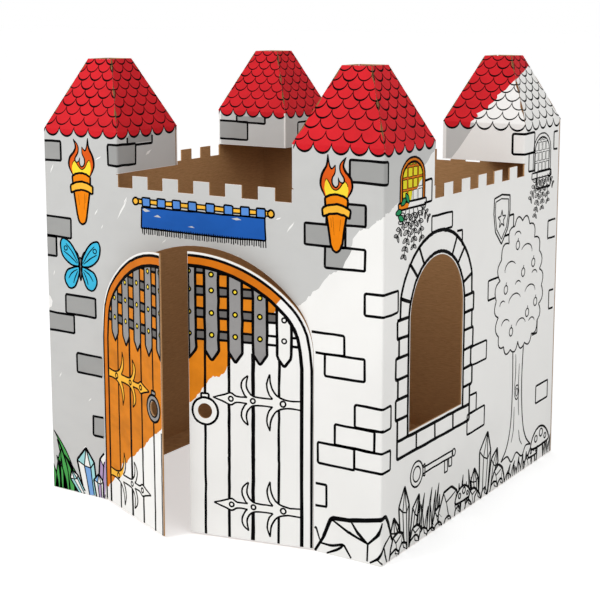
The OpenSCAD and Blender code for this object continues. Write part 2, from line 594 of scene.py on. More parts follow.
@dataclass
class Pen:
    """Everything drawn on one flat sheet, in millimetres."""

    seed: int
    strokes: list[Stroke] = field(default_factory=list)
    shapes: list[tuple[Pigment, list[Path]]] = field(default_factory=list)

    def __post_init__(self) -> None:
        """Seed the hand's unsteadiness."""
        self.hand = random.Random(self.seed)

    def line(self, points: Sequence[Point], width: float = 5.0, closed: bool = False,
             corner: float = 3.0, taper: float = 1.0, under: bool = False) -> None:
        """Ink a line with straight runs.

        Args:
            points: Corner points.
            width: Pen width.
            closed: Whether the line closes.
            corner: How far the corners are rounded, at least.
            taper: Width left at both ends, as a share.
            under: Whether later colours cover the line.
        """
        corner = max(corner, CORNER_SHARE * PEN_WEIGHT * width)
        turned = rounded(points, corner, closed) if len(points) > 2 else [tuple(p) for p in points]
        path: Path = []
        for start, end in zip(turned, turned[1:] + turned[:1] if closed else turned[1:]):
            parts = max(1, int(math.dist(start, end) / LINE_STEP))
            for j in range(parts):
                path.append(tuple(start[k] + (end[k] - start[k]) * j / parts for k in (0, 1)))
        if not closed:
            path.append(turned[-1])
        self.trace(path, width, closed, taper, LINE_WOBBLE, under)

    def curve(self, points: Sequence[Point], width: float, taper: float = 1.0) -> None:
        """Ink a smooth open line through points, narrowed to a share at its ends."""
        self.trace(smoothed(points), width, False, taper, 0.15)

    def trace(self, path: Sequence[Point], width: float, closed: bool = False, taper: float = 1.0,
              wobble: float = 0.2, under: bool = False) -> None:
        """Ink a finished path as it is.

        Args:
            path: Points of the line.
            width: Pen width.
            closed: Whether the line closes.
            taper: Width left at both ends, as a share.
            wobble: Unsteadiness of the hand.
            under: Whether later colours cover the line.
        """
        last = max(1, len(path) - 1)
        points, widths = [], []
        for i, (u, v) in enumerate(path):
            points.append((u + self.hand.gauss(0, wobble), v + self.hand.gauss(0, wobble)))
            swell = abs(math.sin(math.pi * i / last)) ** 0.6
            press = 1.0 if closed else taper + (1.0 - taper) * swell
            widths.append(PEN_WEIGHT * width * press * self.hand.uniform(0.92, 1.08))
        self.strokes.append(Stroke(points, widths, closed, under))

    def colour(self, pigment: Optional[Pigment], outline: Sequence[Point],
               holes: Sequence[Path] = ()) -> None:
        """Colour a field in, round the holes that stay bare, unless it has no colour."""
        if pigment is not None:
            self.shapes.append((pigment, [[tuple(p) for p in ring] for ring in (outline, *holes)]))

    def cover(self, outline: Sequence[Point]) -> None:
        """Take away the inked lines that a nearer drawing hides."""
        self.strokes = [part for stroke in self.strokes for part in stroke.outside(outline)]

    def shape(self, outline: Sequence[Point], pigment: Optional[Pigment] = None, width: float = 4.0,
              smooth: bool = False) -> None:
        """Ink a closed outline and colour it in.

        Args:
            outline: Edge points.
            pigment: Colour, or none to leave it bare.
            width: Pen width.
            smooth: Whether the edge runs smoothly through the points.
        """
        path = smoothed(outline, True) if smooth else list(outline)
        self.colour(pigment, path)
        (self.trace if smooth else self.line)(path, width, True)

    def brick(self, left: float, right: float, low: float, high: float,
              pigment: Optional[Pigment] = None, runs_out: RunsOut = RunsOut.NOWHERE,
              width: float = 5.0) -> None:
        """Draw one brick.

        Args:
            left: Left edge.
            right: Right edge.
            low: Lower edge.
            high: Upper edge.
            pigment: Colour, or none.
            runs_out: The edge that is left open.
            width: Pen width.
        """
        self.colour(pigment, box_path(left, right, low, high))
        slip = self.hand.uniform(-1.5, 1.5)
        corners = [(left, low + slip), (right, low), (right, high), (left, high + slip)]
        if runs_out is RunsOut.RIGHT:
            corners = corners[2:] + corners[:2]
        self.line(corners, width, runs_out is RunsOut.NOWHERE, under=True)

    def bricks(self, rows: Iterable[BrickRow], pigment: Optional[Pigment] = None,
               across: float = 0.0, width: float = 5.0) -> None:
        """Draw rows of bricks, carried across."""
        for left, right, low, high, runs_out in rows:
            self.brick(across + left, across + right, low, high, pigment, runs_out, width)

    def inks(self) -> set[Pigment]:
        """Colours that this sheet holds."""
        inked = {Pigment.UNDER_INK if stroke.under else Pigment.INK for stroke in self.strokes}
        return {pigment for pigment, _ in self.shapes} | inked

    def flat(self, pigment: Pigment) -> bmesh.types.BMesh:
        """Make the flat mesh of one colour.

        Args:
            pigment: Colour to make.

        Returns:
            Faces in the sheet's plane.
        """
        sheet = bmesh.new()
        if pigment.is_ink:
            ribbon = self.ribbon(pigment is Pigment.UNDER_INK)
            sheet.from_mesh(ribbon)
            bpy.data.meshes.remove(ribbon)
        for shade, rings in self.shapes:
            if shade is not pigment:
                continue
            edges = []
            for ring in rings:
                spots = [sheet.verts.new((u, v, 0.0)) for u, v in ring]
                edges += [sheet.edges.new((a, b)) for a, b in zip(spots, spots[1:] + spots[:1])]
            bmesh.ops.triangle_fill(sheet, use_beauty=True, use_dissolve=False, edges=edges)
        return sheet

    def ribbon(self, under: bool) -> bpy.types.Mesh:
        """Lay the inked lines as flat ribbons of a curve.

        Args:
            under: Whether to lay the lines that later colours cover.

        Returns:
            The ribbons as one mesh.
        """
        curve = bpy.data.curves.new("pen_lines", "CURVE")
        curve.dimensions = "3D"
        curve.twist_mode = "Z_UP"
        curve.extrude = 0.5
        for stroke in self.strokes:
            if stroke.under is not under:
                continue
            run = curve.splines.new("POLY")
            run.points.add(len(stroke.points) - 1)
            run.use_cyclic_u = stroke.closed
            for spot, (u, v), width in zip(run.points, stroke.points, stroke.widths):
                spot.co = (u, v, 0.0, 1.0)
                spot.radius = width
                spot.tilt = math.pi / 2
        holder = shown("pen_lines", curve)
        depsgraph = bpy.context.evaluated_depsgraph_get()
        mesh = bpy.data.meshes.new_from_object(holder.evaluated_get(depsgraph))
        bpy.data.objects.remove(holder)
        bpy.data.curves.remove(curve)
        return mesh


def shown(name: str, data: bpy.types.ID) -> bpy.types.Object:
    """Put new data into the scene as an object.

    Args:
        name: The object's name.
        data: Its mesh, curve, lamp or camera.

    Returns:
        The object.
    """
    thing = bpy.data.objects.new(name, data)
    bpy.context.scene.collection.objects.link(thing)
    return thing


def mesh_of(sheet: bmesh.types.BMesh, name: str) -> bpy.types.Mesh:
    """Turn a finished bmesh into a mesh, and free it.

    Args:
        sheet: The bmesh.
        name: The mesh's name.

    Returns:
        The mesh.
    """
    mesh = bpy.data.meshes.new(name)
    sheet.to_mesh(mesh)
    sheet.free()
    return mesh


def slice_flat(sheet: bmesh.types.BMesh, at: Point, across: Point, clear: bool = False,
               faces: Optional[list[bmesh.types.BMFace]] = None) -> list[bmesh.types.BMFace]:
    """Cut a flat sheet along a line.

    Args:
        sheet: Sheet to cut.
        at: A point of the line.
        across: Direction across the line.
        clear: Whether what lies that way is thrown away.
        faces: Faces to cut, or none for all.

    Returns:
        The faces that are left of those.
    """
    chosen = sheet.faces[:] if faces is None else faces
    geom = dict.fromkeys(part for face in chosen for part in (face, *face.edges, *face.verts))
    cut = bmesh.ops.bisect_plane(sheet, geom=list(geom), dist=1e-5, plane_co=(*at, 0.0),
                                 plane_no=(*across, 0.0), clear_outer=clear)
    return [part for part in cut["geom"] if isinstance(part, bmesh.types.BMFace)]


def punch(sheet: bmesh.types.BMesh, rim: Path) -> None:
    """Cut away what runs over an opening.

    Args:
        sheet: Sheet to cut.
        rim: Outline of the opening, which is convex.
    """
    far, top = max(u for u, _ in rim), max(v for _, v in rim)
    over = [face for face in sheet.faces
            if any(abs(v.co.x) < far and v.co.y < top and inside(v.co.xy, rim) for v in face.verts)]
    for a, b in zip(rim, rim[1:]):
        if over:
            over = slice_flat(sheet, a, (b[1] - a[1], a[0] - b[0]), False, over)
    gone = [face for face in over if inside(face.calc_center_median().xy, rim)]
    bmesh.ops.delete(sheet, geom=gone, context="FACES")


class Wrap:
    """A face of the board that takes flat print into the row frame."""

    def trim(self, sheet: bmesh.types.BMesh) -> None:
        """Cut the sheet along its folds and edges."""

    def place(self, u: float, v: float, lift: float) -> Vector:
        """Put a point of the flat sheet on the board, at a lift over it, all in millimetres."""
        raise NotImplementedError

    def settle(self, sheet: bmesh.types.BMesh, lift: float) -> None:
        """Give a flat sheet its thickness and lay it on the board.

        Args:
            sheet: Trimmed flat sheet.
            lift: Height of its top over the board.
        """
        self.trim(sheet)
        made = bmesh.ops.extrude_face_region(sheet, geom=sheet.faces[:])
        for part in made["geom"]:
            if isinstance(part, bmesh.types.BMVert):
                part.co.z = 1.0
        for vert in sheet.verts:
            spot = self.place(vert.co.x, vert.co.y, lift if vert.co.z > 0.5 else 0.02)
            vert.co = (spot + Vector((0.0, FRAME_SHIFT, 0.0))) * MM


@dataclass
class WallRing(Wrap):
    """Walls unrolled to the right from a first corner, round corners that are folded or glued."""

    corners: list[Point]
    folded: list[bool]
    start: float
    low: float
    high: float
    opening: Path = field(default_factory=list)

    def __post_init__(self) -> None:
        """Measure where each corner lies along the ring."""
        self.marks = [self.start]
        for a, b in zip(self.corners, self.corners[1:]):
            self.marks.append(self.marks[-1] + math.dist(a, b))

    def trim(self, sheet: bmesh.types.BMesh) -> None:
        """Cut the sheet off at both ends and along every fold.

        Args:
            sheet: Flat print.
        """
        slice_flat(sheet, (self.low, 0.0), (-1.0, 0.0), True)
        slice_flat(sheet, (self.high, 0.0), (1.0, 0.0), True)
        slice_flat(sheet, (0.0, 0.8), (0.0, -1.0), True)
        for mark, is_fold in zip(self.marks, self.folded):
            if self.low < mark < self.high:
                for share in (-1.0, -0.6, -0.2, 0.2, 0.6, 1.0) if is_fold else (0.0,):
                    slice_flat(sheet, (mark + share * BEND, 0.0), (1.0, 0.0))
        if self.opening:
            punch(sheet, self.opening)

    def place(self, u: float, v: float, lift: float) -> Vector:
        """Put a flat point on its wall, round the fold where it lies on one.

        Args:
            u: Distance along the sheet.
            v: Distance up the sheet.
            lift: Height over the board.

        Returns:
            The point in millimetres.
        """
        for i, (mark, is_fold) in enumerate(zip(self.marks, self.folded)):
            if is_fold and abs(u - mark) < BEND and 0 < i < len(self.corners) - 1:
                before, corner, after = (Vector(self.corners[i + k]) for k in (-1, 0, 1))
                first, second = (corner - before).normalized(), (after - corner).normalized()
                centre = corner + BEND * (second - first)
                turn = (u - mark + BEND) / (2 * BEND) * math.pi / 2
                out = first * math.sin(turn) - second * math.cos(turn)
                flat = centre + out * (BEND + lift)
                return Vector((flat.x, flat.y, v))
        i = 0
        while i < len(self.marks) - 2 and u > self.marks[i + 1]:
            i += 1
        a, b = Vector(self.corners[i]), Vector(self.corners[i + 1])
        way = (b - a).normalized()
        flat = a + way * (u - self.marks[i]) + Vector((way.y, -way.x)) * lift
        return Vector((flat.x, flat.y, v))


@dataclass
class RoofFace(Wrap):
    """One tower face with its roof panel: across from its middle, and up from the crease."""

    middle: Point
    side: Side
    right_end: float = TOWER_HALF
    left_fold: bool = True
    seam: float = 0.75

    def __post_init__(self) -> None:
        """Find the face's own directions."""
        turn = self.side.value * math.pi / 2
        self.out = Vector((math.sin(turn), -math.cos(turn)))
        self.right = Vector((math.cos(turn), math.sin(turn)))
        self.crease = BEND * ROOF_LEAN

    def profile(self, w: float) -> tuple[float, float, float]:
        """Distance out, height and lean of the board at a height up the face.

        Args:
            w: Distance up from the crease.

        Returns:
            Distance from the tower's middle, height and lean.
        """
        if w <= 0.0:
            return TOWER_HALF, EAVE + w, 0.0
        lean = min(w / BEND, ROOF_LEAN)
        run = max(w - self.crease, 0.0)
        out = TOWER_HALF - BEND * (1 - math.cos(lean)) - run * math.sin(ROOF_LEAN)
        return out, EAVE + BEND * math.sin(lean) + run * math.cos(ROOF_LEAN), lean

    def trim(self, sheet: bmesh.types.BMesh) -> None:
        """Cut the sheet at the crease, the ends of the wall, the hips and the top.

        Args:
            sheet: Flat print.
        """
        def part(above: bool) -> list[bmesh.types.BMFace]:
            """Faces over or under the crease."""
            return [face for face in sheet.faces if (face.calc_center_median().y > 0.0) is above]

        for w in (-0.8, 0.0, self.crease / 2, self.crease):
            slice_flat(sheet, (0.0, w), (0.0, 1.0))
        crease = [e for e in sheet.edges if all(abs(v.co.y) < 1e-4 for v in e.verts)]
        bmesh.ops.split_edges(sheet, edges=crease)
        slice_flat(sheet, (0.0, ROOF_TOP), (0.0, 1.0), True)
        slope = Vector((1.0, math.sin(ROOF_LEAN))).normalized()
        lift = self.crease * math.sin(ROOF_LEAN)
        hip = TOWER_HALF - BEND * (1 - math.cos(ROOF_LEAN)) + lift - self.seam
        for sign, end, fold in ((-1, TOWER_HALF, self.left_fold), (1, self.right_end, True)):
            slice_flat(sheet, (sign * hip, 0.0), (sign * slope.x, slope.y), True, part(True))
            slice_flat(sheet, (sign * end, 0.0), (sign, 0.0), True, part(False))
            for at in (TOWER_HALF - BEND / 2, TOWER_HALF - BEND) if fold else ():
                slice_flat(sheet, (sign * at, 0.0), (sign, 0.0), False, part(False))

    def place(self, u: float, v: float, lift: float) -> Vector:
        """Put a flat point on the tower's face or its roof.

        Args:
            u: Distance along the sheet.
            v: Distance up the sheet.
            lift: Height over the board.

        Returns:
            The point in millimetres.
        """
        out, height, lean = self.profile(v)
        across = u
        tilt = Vector((0.0, 0.0))
        over = abs(u) - (TOWER_HALF - BEND)
        if v < -0.4 and over > 0.0 and (u > 0 or self.left_fold):
            turn = over / BEND * math.pi / 4
            sign = math.copysign(1.0, u)
            across = sign * (TOWER_HALF - BEND + BEND * math.sin(turn))
            out = TOWER_HALF - BEND + BEND * math.cos(turn)
            tilt = self.right * (sign * math.sin(turn)) + self.out * (math.cos(turn) - 1.0)
        flat = Vector(self.middle) + self.out * out + self.right * across
        flat += (self.out * math.cos(lean) + tilt) * lift
        return Vector((flat.x, flat.y, height + math.sin(lean) * lift))


@dataclass
class LeafFace(Wrap):
    """Outer face of a gate leaf: across from its hinge, and up from the floor."""

    opening: float
    hand: float
    foot: float = 4.6
    free_edge: float = 303.8

    def trim(self, sheet: bmesh.types.BMesh) -> None:
        """Cut the sheet off at the leaf's foot and free edge."""
        slice_flat(sheet, (0.0, self.foot), (0.0, -1.0), True)
        slice_flat(sheet, (self.free_edge, 0.0), (1.0, 0.0), True)

    def place(self, u: float, v: float, lift: float) -> Vector:
        """Put a flat point on the leaf as it stands ajar.

        Args:
            u: Distance along the sheet.
            v: Distance up the sheet.
            lift: Height over the board.

        Returns:
            The point in millimetres.
        """
        turn = math.radians(self.opening)
        way = Vector((self.hand * math.cos(turn), -math.sin(turn)))
        out = Vector((-self.hand * math.sin(turn), -math.cos(turn)))
        flat = Vector((-self.hand * GATE_HALF, -HALF)) + way * u + out * lift
        return Vector((flat.x, flat.y, v))


def press(name: str, sheets: Sequence[tuple[Pen, Wrap]], body: str, slot: str) -> None:
    """Print finished drawings on the board, one thin piece for each colour.

    Args:
        name: Start of the pieces' names.
        sheets: Drawings with the faces that they lie on.
        body: CAD body that carries them.
        slot: Not used.
    """
    for pigment in Pigment:
        whole = bmesh.new()
        for pen, wrap in sheets:
            if pigment in pen.inks():
                sheet = pen.flat(pigment)
                wrap.settle(sheet, pigment.lift)
                carrier = mesh_of(sheet, "carrier")
                whole.from_mesh(carrier)
                bpy.data.meshes.remove(carrier)
        if not whole.faces:
            whole.free()
            continue
        bmesh.ops.delete(whole, geom=[v for v in whole.verts if not v.link_faces], context="VERTS")
        bmesh.ops.recalc_face_normals(whole, faces=whole.faces[:])
        mesh = mesh_of(whole, f"{name}_{pigment.label}")
        mesh.materials.append(PenFinish(pigment).material())
        piece = shown(mesh.name, mesh)
        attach(piece, body)
        LOG.info("%s: %d faces on %s", piece.name, len(mesh.polygons), body)


def gate_arch(margin: float, from_angle: float = 180.0, to_angle: float = 0.0) -> Path:
    """Three-centred arch of the gate, left to right, about the middle of the front.

    Args:
        margin: Distance inside the cut.
        from_angle: Angle at which it starts, in degrees.
        to_angle: Angle at which it ends, in degrees.

    Returns:
        Points along the arch.
    """
    path = []
    count = int(abs(from_angle - to_angle) / 5.0)
    for i in range(count + 1):
        turn = from_angle + (to_angle - from_angle) * i / count
        across, up, radius = 0.0, CROWN_UP, CROWN_R - margin
        if not 45.0 <= turn <= 135.0:
            across = math.copysign(SHOULDER_AT, 90.0 - turn)
            up, radius = SHOULDER_UP, SHOULDER_R - margin
        t = math.radians(turn)
        path.append((across + radius * math.cos(t), up + radius * math.sin(t)))
    return path


def gate_outline(over: float) -> Path:
    """Outline of the gate at a distance outside its cut, left to right from below the floor."""
    side = GATE_HALF + over
    return [(-side, -5.0), *gate_arch(-over), (side, -5.0)]


def arch_height(across: float, margin: float) -> float:
    """Height of the gate arch over a point of the front.

    Args:
        across: Distance from the gate's middle.
        margin: Distance inside the cut.

    Returns:
        Height in millimetres.
    """
    far = abs(across)
    if far <= (CROWN_R - margin) * math.cos(math.pi / 4):
        return CROWN_UP + math.sqrt((CROWN_R - margin) ** 2 - far ** 2)
    return SHOULDER_UP + math.sqrt(max((SHOULDER_R - margin) ** 2 - (far - SHOULDER_AT) ** 2, 0.0))


@dataclass
class Quill(Pen):
    """A pen that also knows the small drawings that stand on several sheets."""

    stone_ink: float = 5.5
    cap_ink: float = 5.0
    tuft_ink: float = 3.4

    def draw(self) -> None:
        """Draw the whole sheet."""
        raise NotImplementedError

    def torch(self, across: float, flip: bool = False) -> None:
        """Draw a burning torch.

        Args:
            across: Middle of the torch.
            flip: Whether it is mirrored.
        """
        at = partial(moved, across=across, flip=flip)
        flame = ([(-27, 810), (-39, 832), (-36, 853), (-22, 868), (-17, 882), (-24, 899)],
                 [(-24, 899), (-10, 884), (-9, 868), (-19, 852), (-17, 843), (-8, 845), (-4, 854)],
                 [(-4, 854), (-5, 840), (1, 832), (10, 838), (11, 851), (4, 864), (3, 881)],
                 [(3, 881), (12, 872), (18, 880), (22, 903)],
                 [(22, 903), (25, 880), (37, 858), (40, 834), (28, 810)])
        tongues = [smoothed(part) for part in flame]
        self.cover(at([spot for part in tongues for spot in part]))
        fire = [spot for part in tongues for spot in part[:-1]] + [(28, 810)]
        self.colour(Pigment.FLAME_RED, at(fire))
        for part, ink in zip(tongues, (5.0, 3.2, 3.2, 3.2, 5.0)):
            self.trace(at(part), ink, False, 0.3, 0.1)
        glow = smoothed([(-30, 826), (-27, 840), (-19, 846), (-10, 834), (0, 826), (11, 830),
                         (19, 843), (27, 849), (31, 828)], False, 3)
        lip = [(26, 811), (13, 815), (0, 817), (-13, 815), (-26, 811)]
        self.colour(Pigment.FLAME_YELLOW, at(glow + lip))
        self.trace(at(glow[2:-2]), 2.2, False, 0.5)
        handle = [(-26, 778), (26, 778), (15, 710), (10, 696), (0, 690), (-10, 696), (-15, 710)]
        cup = [(-29, 808), (-15, 815), (0, 817), (15, 815), (29, 808), (27, 784), (-27, 784)]
        ring = [(-36, 785), (-19, 793), (0, 796), (19, 793), (36, 785), (34, 766), (18, 773),
                (0, 776), (-18, 773), (-34, 766)]
        orange = Pigment.TORCH_ORANGE
        for outline, pigment in ((handle, orange), (cup, orange), (ring, Pigment.BRASS)):
            self.cover(at(outline))
            self.shape(at(outline), pigment, 4.6)
        for path in ([(9, 768), (6, 728)], [(14, 764), (12, 744)], [(-11, 764), (-8, 738)]):
            self.line(at(path), 1.6, False, 0, 0.3)

    def blade(self, foot: Point, height: float, lean: float, width: float,
              pigment: Optional[Pigment], ink: float) -> None:
        """Draw a blade of grass.

        Args:
            foot: Middle of its foot.
            height: Its height.
            lean: How far its tip stands to the right.
            width: Width at the foot.
            pigment: Colour, or none.
            ink: Pen width.
        """
        u, v = foot
        shares = (0.0, 0.3, 0.6, 0.85, 1.0)
        sides = [[(u + side * width * (1 - s) ** 0.8 + lean * s * s,
                   v + height * s) for s in shares]
                 for side in (-0.5, 0.5)]
        edges = smoothed(sides[0], False, 3), smoothed(sides[1][::-1], False, 3)
        outline = edges[0] + edges[1][1:]
        self.cover(outline)
        self.colour(pigment, outline)
        for edge in edges:
            self.trace(edge, ink, False, 0.5, 0.1)

    def gem(self, foot: Point, height: float, width: float, turn: float,
            pigments: Sequence[Optional[Pigment]] = (None,) * 6, ink: float = 5.0) -> None:
        """Draw a standing crystal with three sides and a pointed crown.

        Args:
            foot: Middle of its foot.
            height: Its height.
            width: Its width.
            turn: Lean to the left in degrees.
            pigments: Colours of the left, front and right sides, then of the crown above them.
            ink: Pen width.
        """
        at = partial(stood, foot=foot, wide=width, tall=height, turn=turn)
        tip, feet = (0.14, 1.0), [(-0.38, 0.0), (-0.08, 0.0), (0.2, 0.0), (0.38, 0.0)]
        collar = [(-0.5, 0.74), (-0.12, 0.62), (0.24, 0.57), (0.5, 0.68)]
        self.cover(at([feet[0], feet[-1], collar[-1], tip, collar[0]]))
        sides = [(feet[i], feet[i + 1], collar[i + 1], collar[i]) for i in range(3)]
        crown = [(collar[i], collar[i + 1], tip) for i in range(3)]
        for facet, pigment in zip(sides + crown, pigments):
            self.colour(pigment, at(facet))
        for edge in (collar, (feet[1], collar[1], tip), (feet[2], collar[2], tip)):
            self.line(at(edge), ink * 0.6, corner=1.0)
        self.line(at([feet[0], collar[0], tip, collar[-1], feet[-1]]), ink)

    def stone(self, foot: Point, width: float, height: float) -> None:
        """Draw a faceted stone lying on the ground.

        Args:
            foot: Middle of its foot.
            width: Its width.
            height: Its height.
        """
        hand, at = self.hand, partial(stood, foot=foot, wide=width, tall=height)
        brow = ((-0.46, 0.42), (-0.27, 0.86), (0.07, 0.98), (0.36, 0.76), (0.49, 0.32))
        brow = [(a + hand.uniform(-0.03, 0.03), b + hand.uniform(-0.06, 0.06)) for a, b in brow]
        rim = [(-0.5, 0.0), *brow, (0.5, 0.0)]
        ridge = (-0.1 + hand.uniform(-0.05, 0.05), 0.56)
        self.cover(at(rim))
        for path, share, taper in (
            ([rim[2], ridge, rim[4]], 0.65, 0.6), ([ridge, (0.02, 0.0)], 0.65, 0.5),
            ([rim[4], (0.27, 0.3), (0.36, 0.0)], 0.5, 0.3), ([rim[1], (-0.33, 0.24)], 0.5, 0.3),
            (rim, 1.0, 0.75),
        ):
            self.line(at(path), self.stone_ink * share, taper=taper)

    def toadstool(self, foot: Point, size: float) -> None:
        """Draw a spotted toadstool.

        Args:
            foot: Middle of its foot.
            size: Scale.
        """
        at = partial(stood, foot=foot, wide=size, tall=size)
        stem = at([(-22, 0), (-16, 40), (16, 40), (24, 0)])
        cap = at(smoothed([(-62, 44), (-52, 70), (-24, 88), (8, 90), (40, 74), (60, 44), (30, 37),
                           (-30, 37)], True))
        for outline in (stem, cap):
            self.cover(outline)
        for edge in (stem[:2], stem[2:]):
            self.line(edge, self.cap_ink)
        self.trace(cap, self.cap_ink, True)
        for spot, reach in (((-28, 62), 9), ((6, 72), 11), ((34, 56), 7)):
            self.trace(at(disc(spot, reach, 12)), self.cap_ink * 0.7, True)

    def tuft(self, start: float, end: float, pitch: float, low: float, high: float) -> None:
        """Draw a tuft of bare grass, each blade before the last.

        Args:
            start: Left end.
            end: Right end.
            pitch: Distance between blades.
            low: Lowest blade.
            high: Tallest blade.
        """
        hand = self.hand
        u = start
        while u < end:
            height, lean = hand.uniform(low, high), hand.uniform(-16, 18)
            self.blade((u, GROUND), height, lean, pitch * 1.1, None, self.tuft_ink)
            u += pitch

    def pebbles(self, start: float, end: float, pitch: float) -> None:
        """Draw a row of small stones along the ground.

        Args:
            start: Left end.
            end: Right end.
            pitch: Distance between stones.
        """
        hand = self.hand
        u = start
        while u < end:
            half, tall = pitch * hand.uniform(0.36, 0.6), hand.uniform(12, 30)
            at = partial(stood, foot=(u, GROUND), wide=half, tall=tall)
            rim = at([(-1.0, 0.0), (-0.8, 0.62), (hand.uniform(-0.3, 0.3), 1.0),
                      (0.75, hand.uniform(0.4, 0.8)), (1.0, 0.0)])
            self.cover(rim)
            self.line([rim[2], *at([(0.15, 0.4)]), rim[-1]], 3.0, taper=0.4)
            self.line(rim, 4.6, taper=0.8)
            u += pitch * hand.uniform(0.7, 1.5)

    def frond(self, foot: Point, tip: Point, size: float, pairs: int, ink: float) -> None:
        """Draw a leafy sprig.

        Args:
            foot: Foot of its stem.
            tip: Tip of its stem.
            size: Length of a leaf.
            pairs: Number of leaf pairs.
            ink: Pen width.
        """
        a, b = Vector(foot), Vector(tip)
        way = (b - a).normalized()
        side = Vector((-way.y, way.x))
        bow = (a + b) / 2 + side * 0.08 * (b - a).length
        self.curve([tuple(a), tuple(bow), tuple(b)], ink)
        for i in range(pairs):
            t = (i + 0.6) / pairs
            root = a * (1 - t) ** 2 + bow * 2 * t * (1 - t) + b * t * t
            for sign in (-1, 1):
                reach = (way * 0.55 + side * sign * 0.84) * size * (1.05 - 0.35 * t)
                out = Vector((-reach.y, reach.x)) * 0.24
                leaf = (root, root + reach * 0.45 + out, root + reach, root + reach * 0.45 - out)
                self.trace(smoothed([tuple(p) for p in leaf], True, 4), ink, True)
                self.line([tuple(root), tuple(root + reach * 0.7)], ink * 0.6)


@dataclass
class FrontPrint(Quill):
    """Print on the front wall: wall wash, bricks, torches, cloth banner, butterfly and planting."""

    seed: int = 11
    torch_at: float = 362.0
    cell: float = 45.0
    crenels: int = 6
    crenel: float = 790.0
    merlon: float = 820.0
    notch: float = 247.5
    inset: float = 0.6
    wash_end: Point = (712.0, 905.0)
    wing_at: Point = (-372.0, 585.0)

    def wash(self) -> None:
        """Colour the wall grey, down to the ragged edge where the pen stopped."""
        e = self.inset
        low, high, top = self.crenel - e, self.merlon - e, EAVE - e
        jamb, shoulder = -GATE_HALF - e, self.notch + 5.0
        outline: Path = [(-HALF, 0.8), (jamb, 0.8), (jamb, 445.0), *gate_arch(-e, 180.0, 45.0)]
        outline += [p for p in gate_arch(-e, 45.0, 0.0)[1:] if p[0] < 262.0]
        border = [(264, 561), (283, 573), (300, 595), (322, 612), (345, 640), (362, 648),
                  (374, 662), (384, 680), (397, 702), (404, 722), (416, 740), (431, 748),
                  (447, 752), (462, 768), (474, 772), (486, 782), (504, 784), (522, 797),
                  (545, 803), (570, 812), (600, 835), (630, 850), (660, 869), (690, 890),
                  (712, 903)]
        outline += frayed(self.hand, border, 4, (1.8, 2.6))
        outline += [self.wash_end, (self.wash_end[0], top), (shoulder, top), (shoulder, high)]
        for i in range(self.crenels):
            right = self.notch - 2 * i * self.cell
            left = right - self.cell
            outline += [(right + e, high), (right + e, low), (left - e, low), (left - e, high)]
        outline += [(-shoulder, high), (-shoulder, top), (-HALF, top), (-HALF, 503.0), (-474, 498),
                    (-468, 487), (-471, 474), (-HALF, 468.0)]
        flecks = [(-458, 822, 26, 1.15, 5), (-308, 856, 22, 0.5, 4), (-318, 724, 20, 1.0, 4),
                  (-236, 738, 62, 1.02, 6), (-226, 760, 22, 1.05, 4), (-374, 122, 16, 0.9, 4),
                  (212, 752, 16, 0.4, 4), (244, 736, 34, 0.9, 5), (-110, 672, 18, 0.7, 3),
                  (-300, 690, 12, 1.2, 3), (96, 655, 20, 0.5, 3), (-448, 300, 18, 1.1, 3),
                  (-352, 250, 14, 0.8, 3), (-460, 560, 16, 1.3, 3)]
        bare = [lozenge((u, v), turn, length, width, (-0.1, 0.15))
                for u, v, length, turn, width in flecks]
        self.colour(Pigment.WALL_GREY, outline, bare)

    def masonry(self) -> None:
        """Draw the front's bricks, coloured where the wash reaches."""
        grey = Pigment.BRICK_GREY
        whole, left, right = RunsOut
        self.bricks((
            (-480, -427, 843, 891, left), (-480, -400, 653, 702, left),
            (-480, -449, 604, 653, left), (-423, -326, 461, 509, whole),
            (-480, -397, 413, 459, left), (-391, -307, 314, 363, right),
            (-343, -307, 160, 210, right), (395, 495, 845, 893, whole),
            (281, 385, 702, 750, whole)), grey)
        self.colour(grey, box_path(385, 435, 752, 798))
        for path in ([(386, 752), (435, 752), (435, 798), (388, 798)], [(337, 752), (337, 790)]):
            self.line(path, under=True)
        self.colour(grey, [(333, 657), (378, 657), (384, 672), (396, 690), (402, 703), (333, 703)])
        self.bricks((
            (333, 434, 656, 703, whole), (434, 545, 560, 608, whole), (288, 383, 462, 508, left),
            (334, 435, 412, 462, whole), (411, 518, 307, 357, whole), (360, 461, 258, 305, whole),
            (316, 410, 209, 257, whole), (410, 517, 212, 257, whole), (307, 339, 110, 162, left)))
        self.line([(461, 305), (486, 308)])

    def banner(self) -> None:
        """Draw the cloth banner on its pole."""
        cloth = [(-176, 748), (176, 750), (178, 699), (60, 696), (-60, 697), (-178, 698)]
        flecks = ([(-174, 742), (-168, 746), (-150, 740), (-165, 737)],
                  [(-140, 728), (-128, 733), (-118, 727)],
                  [(84, 742), (100, 745), (112, 741), (97, 739)],
                  [(-40, 712), (-28, 715), (-20, 711)])
        self.colour(Pigment.CLOTH_BLUE, cloth, flecks)
        self.line(cloth, 3.5, True)
        u = -175.0
        while u < 178.0:
            end = (u + self.hand.uniform(-0.8, 0.8), 684 + self.hand.uniform(-2, 2))
            self.line([(u, 701), end], 2.9, taper=0.8)
            u += 6.3
        self.colour(Pigment.BRASS, box_path(-186, 184, 757, 765))
        tabs = (-162, -117, -72, -26, 25, 76, 122, 165)
        for left, right in zip((-198,) + tabs, tabs + (201,)):
            for v in (755.5, 766.5):
                self.line([(left + 12, v), (right - 12, v)], 3.0)
        for u in (-194, 192):
            self.shape(disc((u, 761), 8.5, 12), Pigment.BRASS, 3.8, True)
        for u in tabs:
            self.shape(box_path(u - 12, u + 12, 750, 771), Pigment.TAB_BLUE, 3.6)

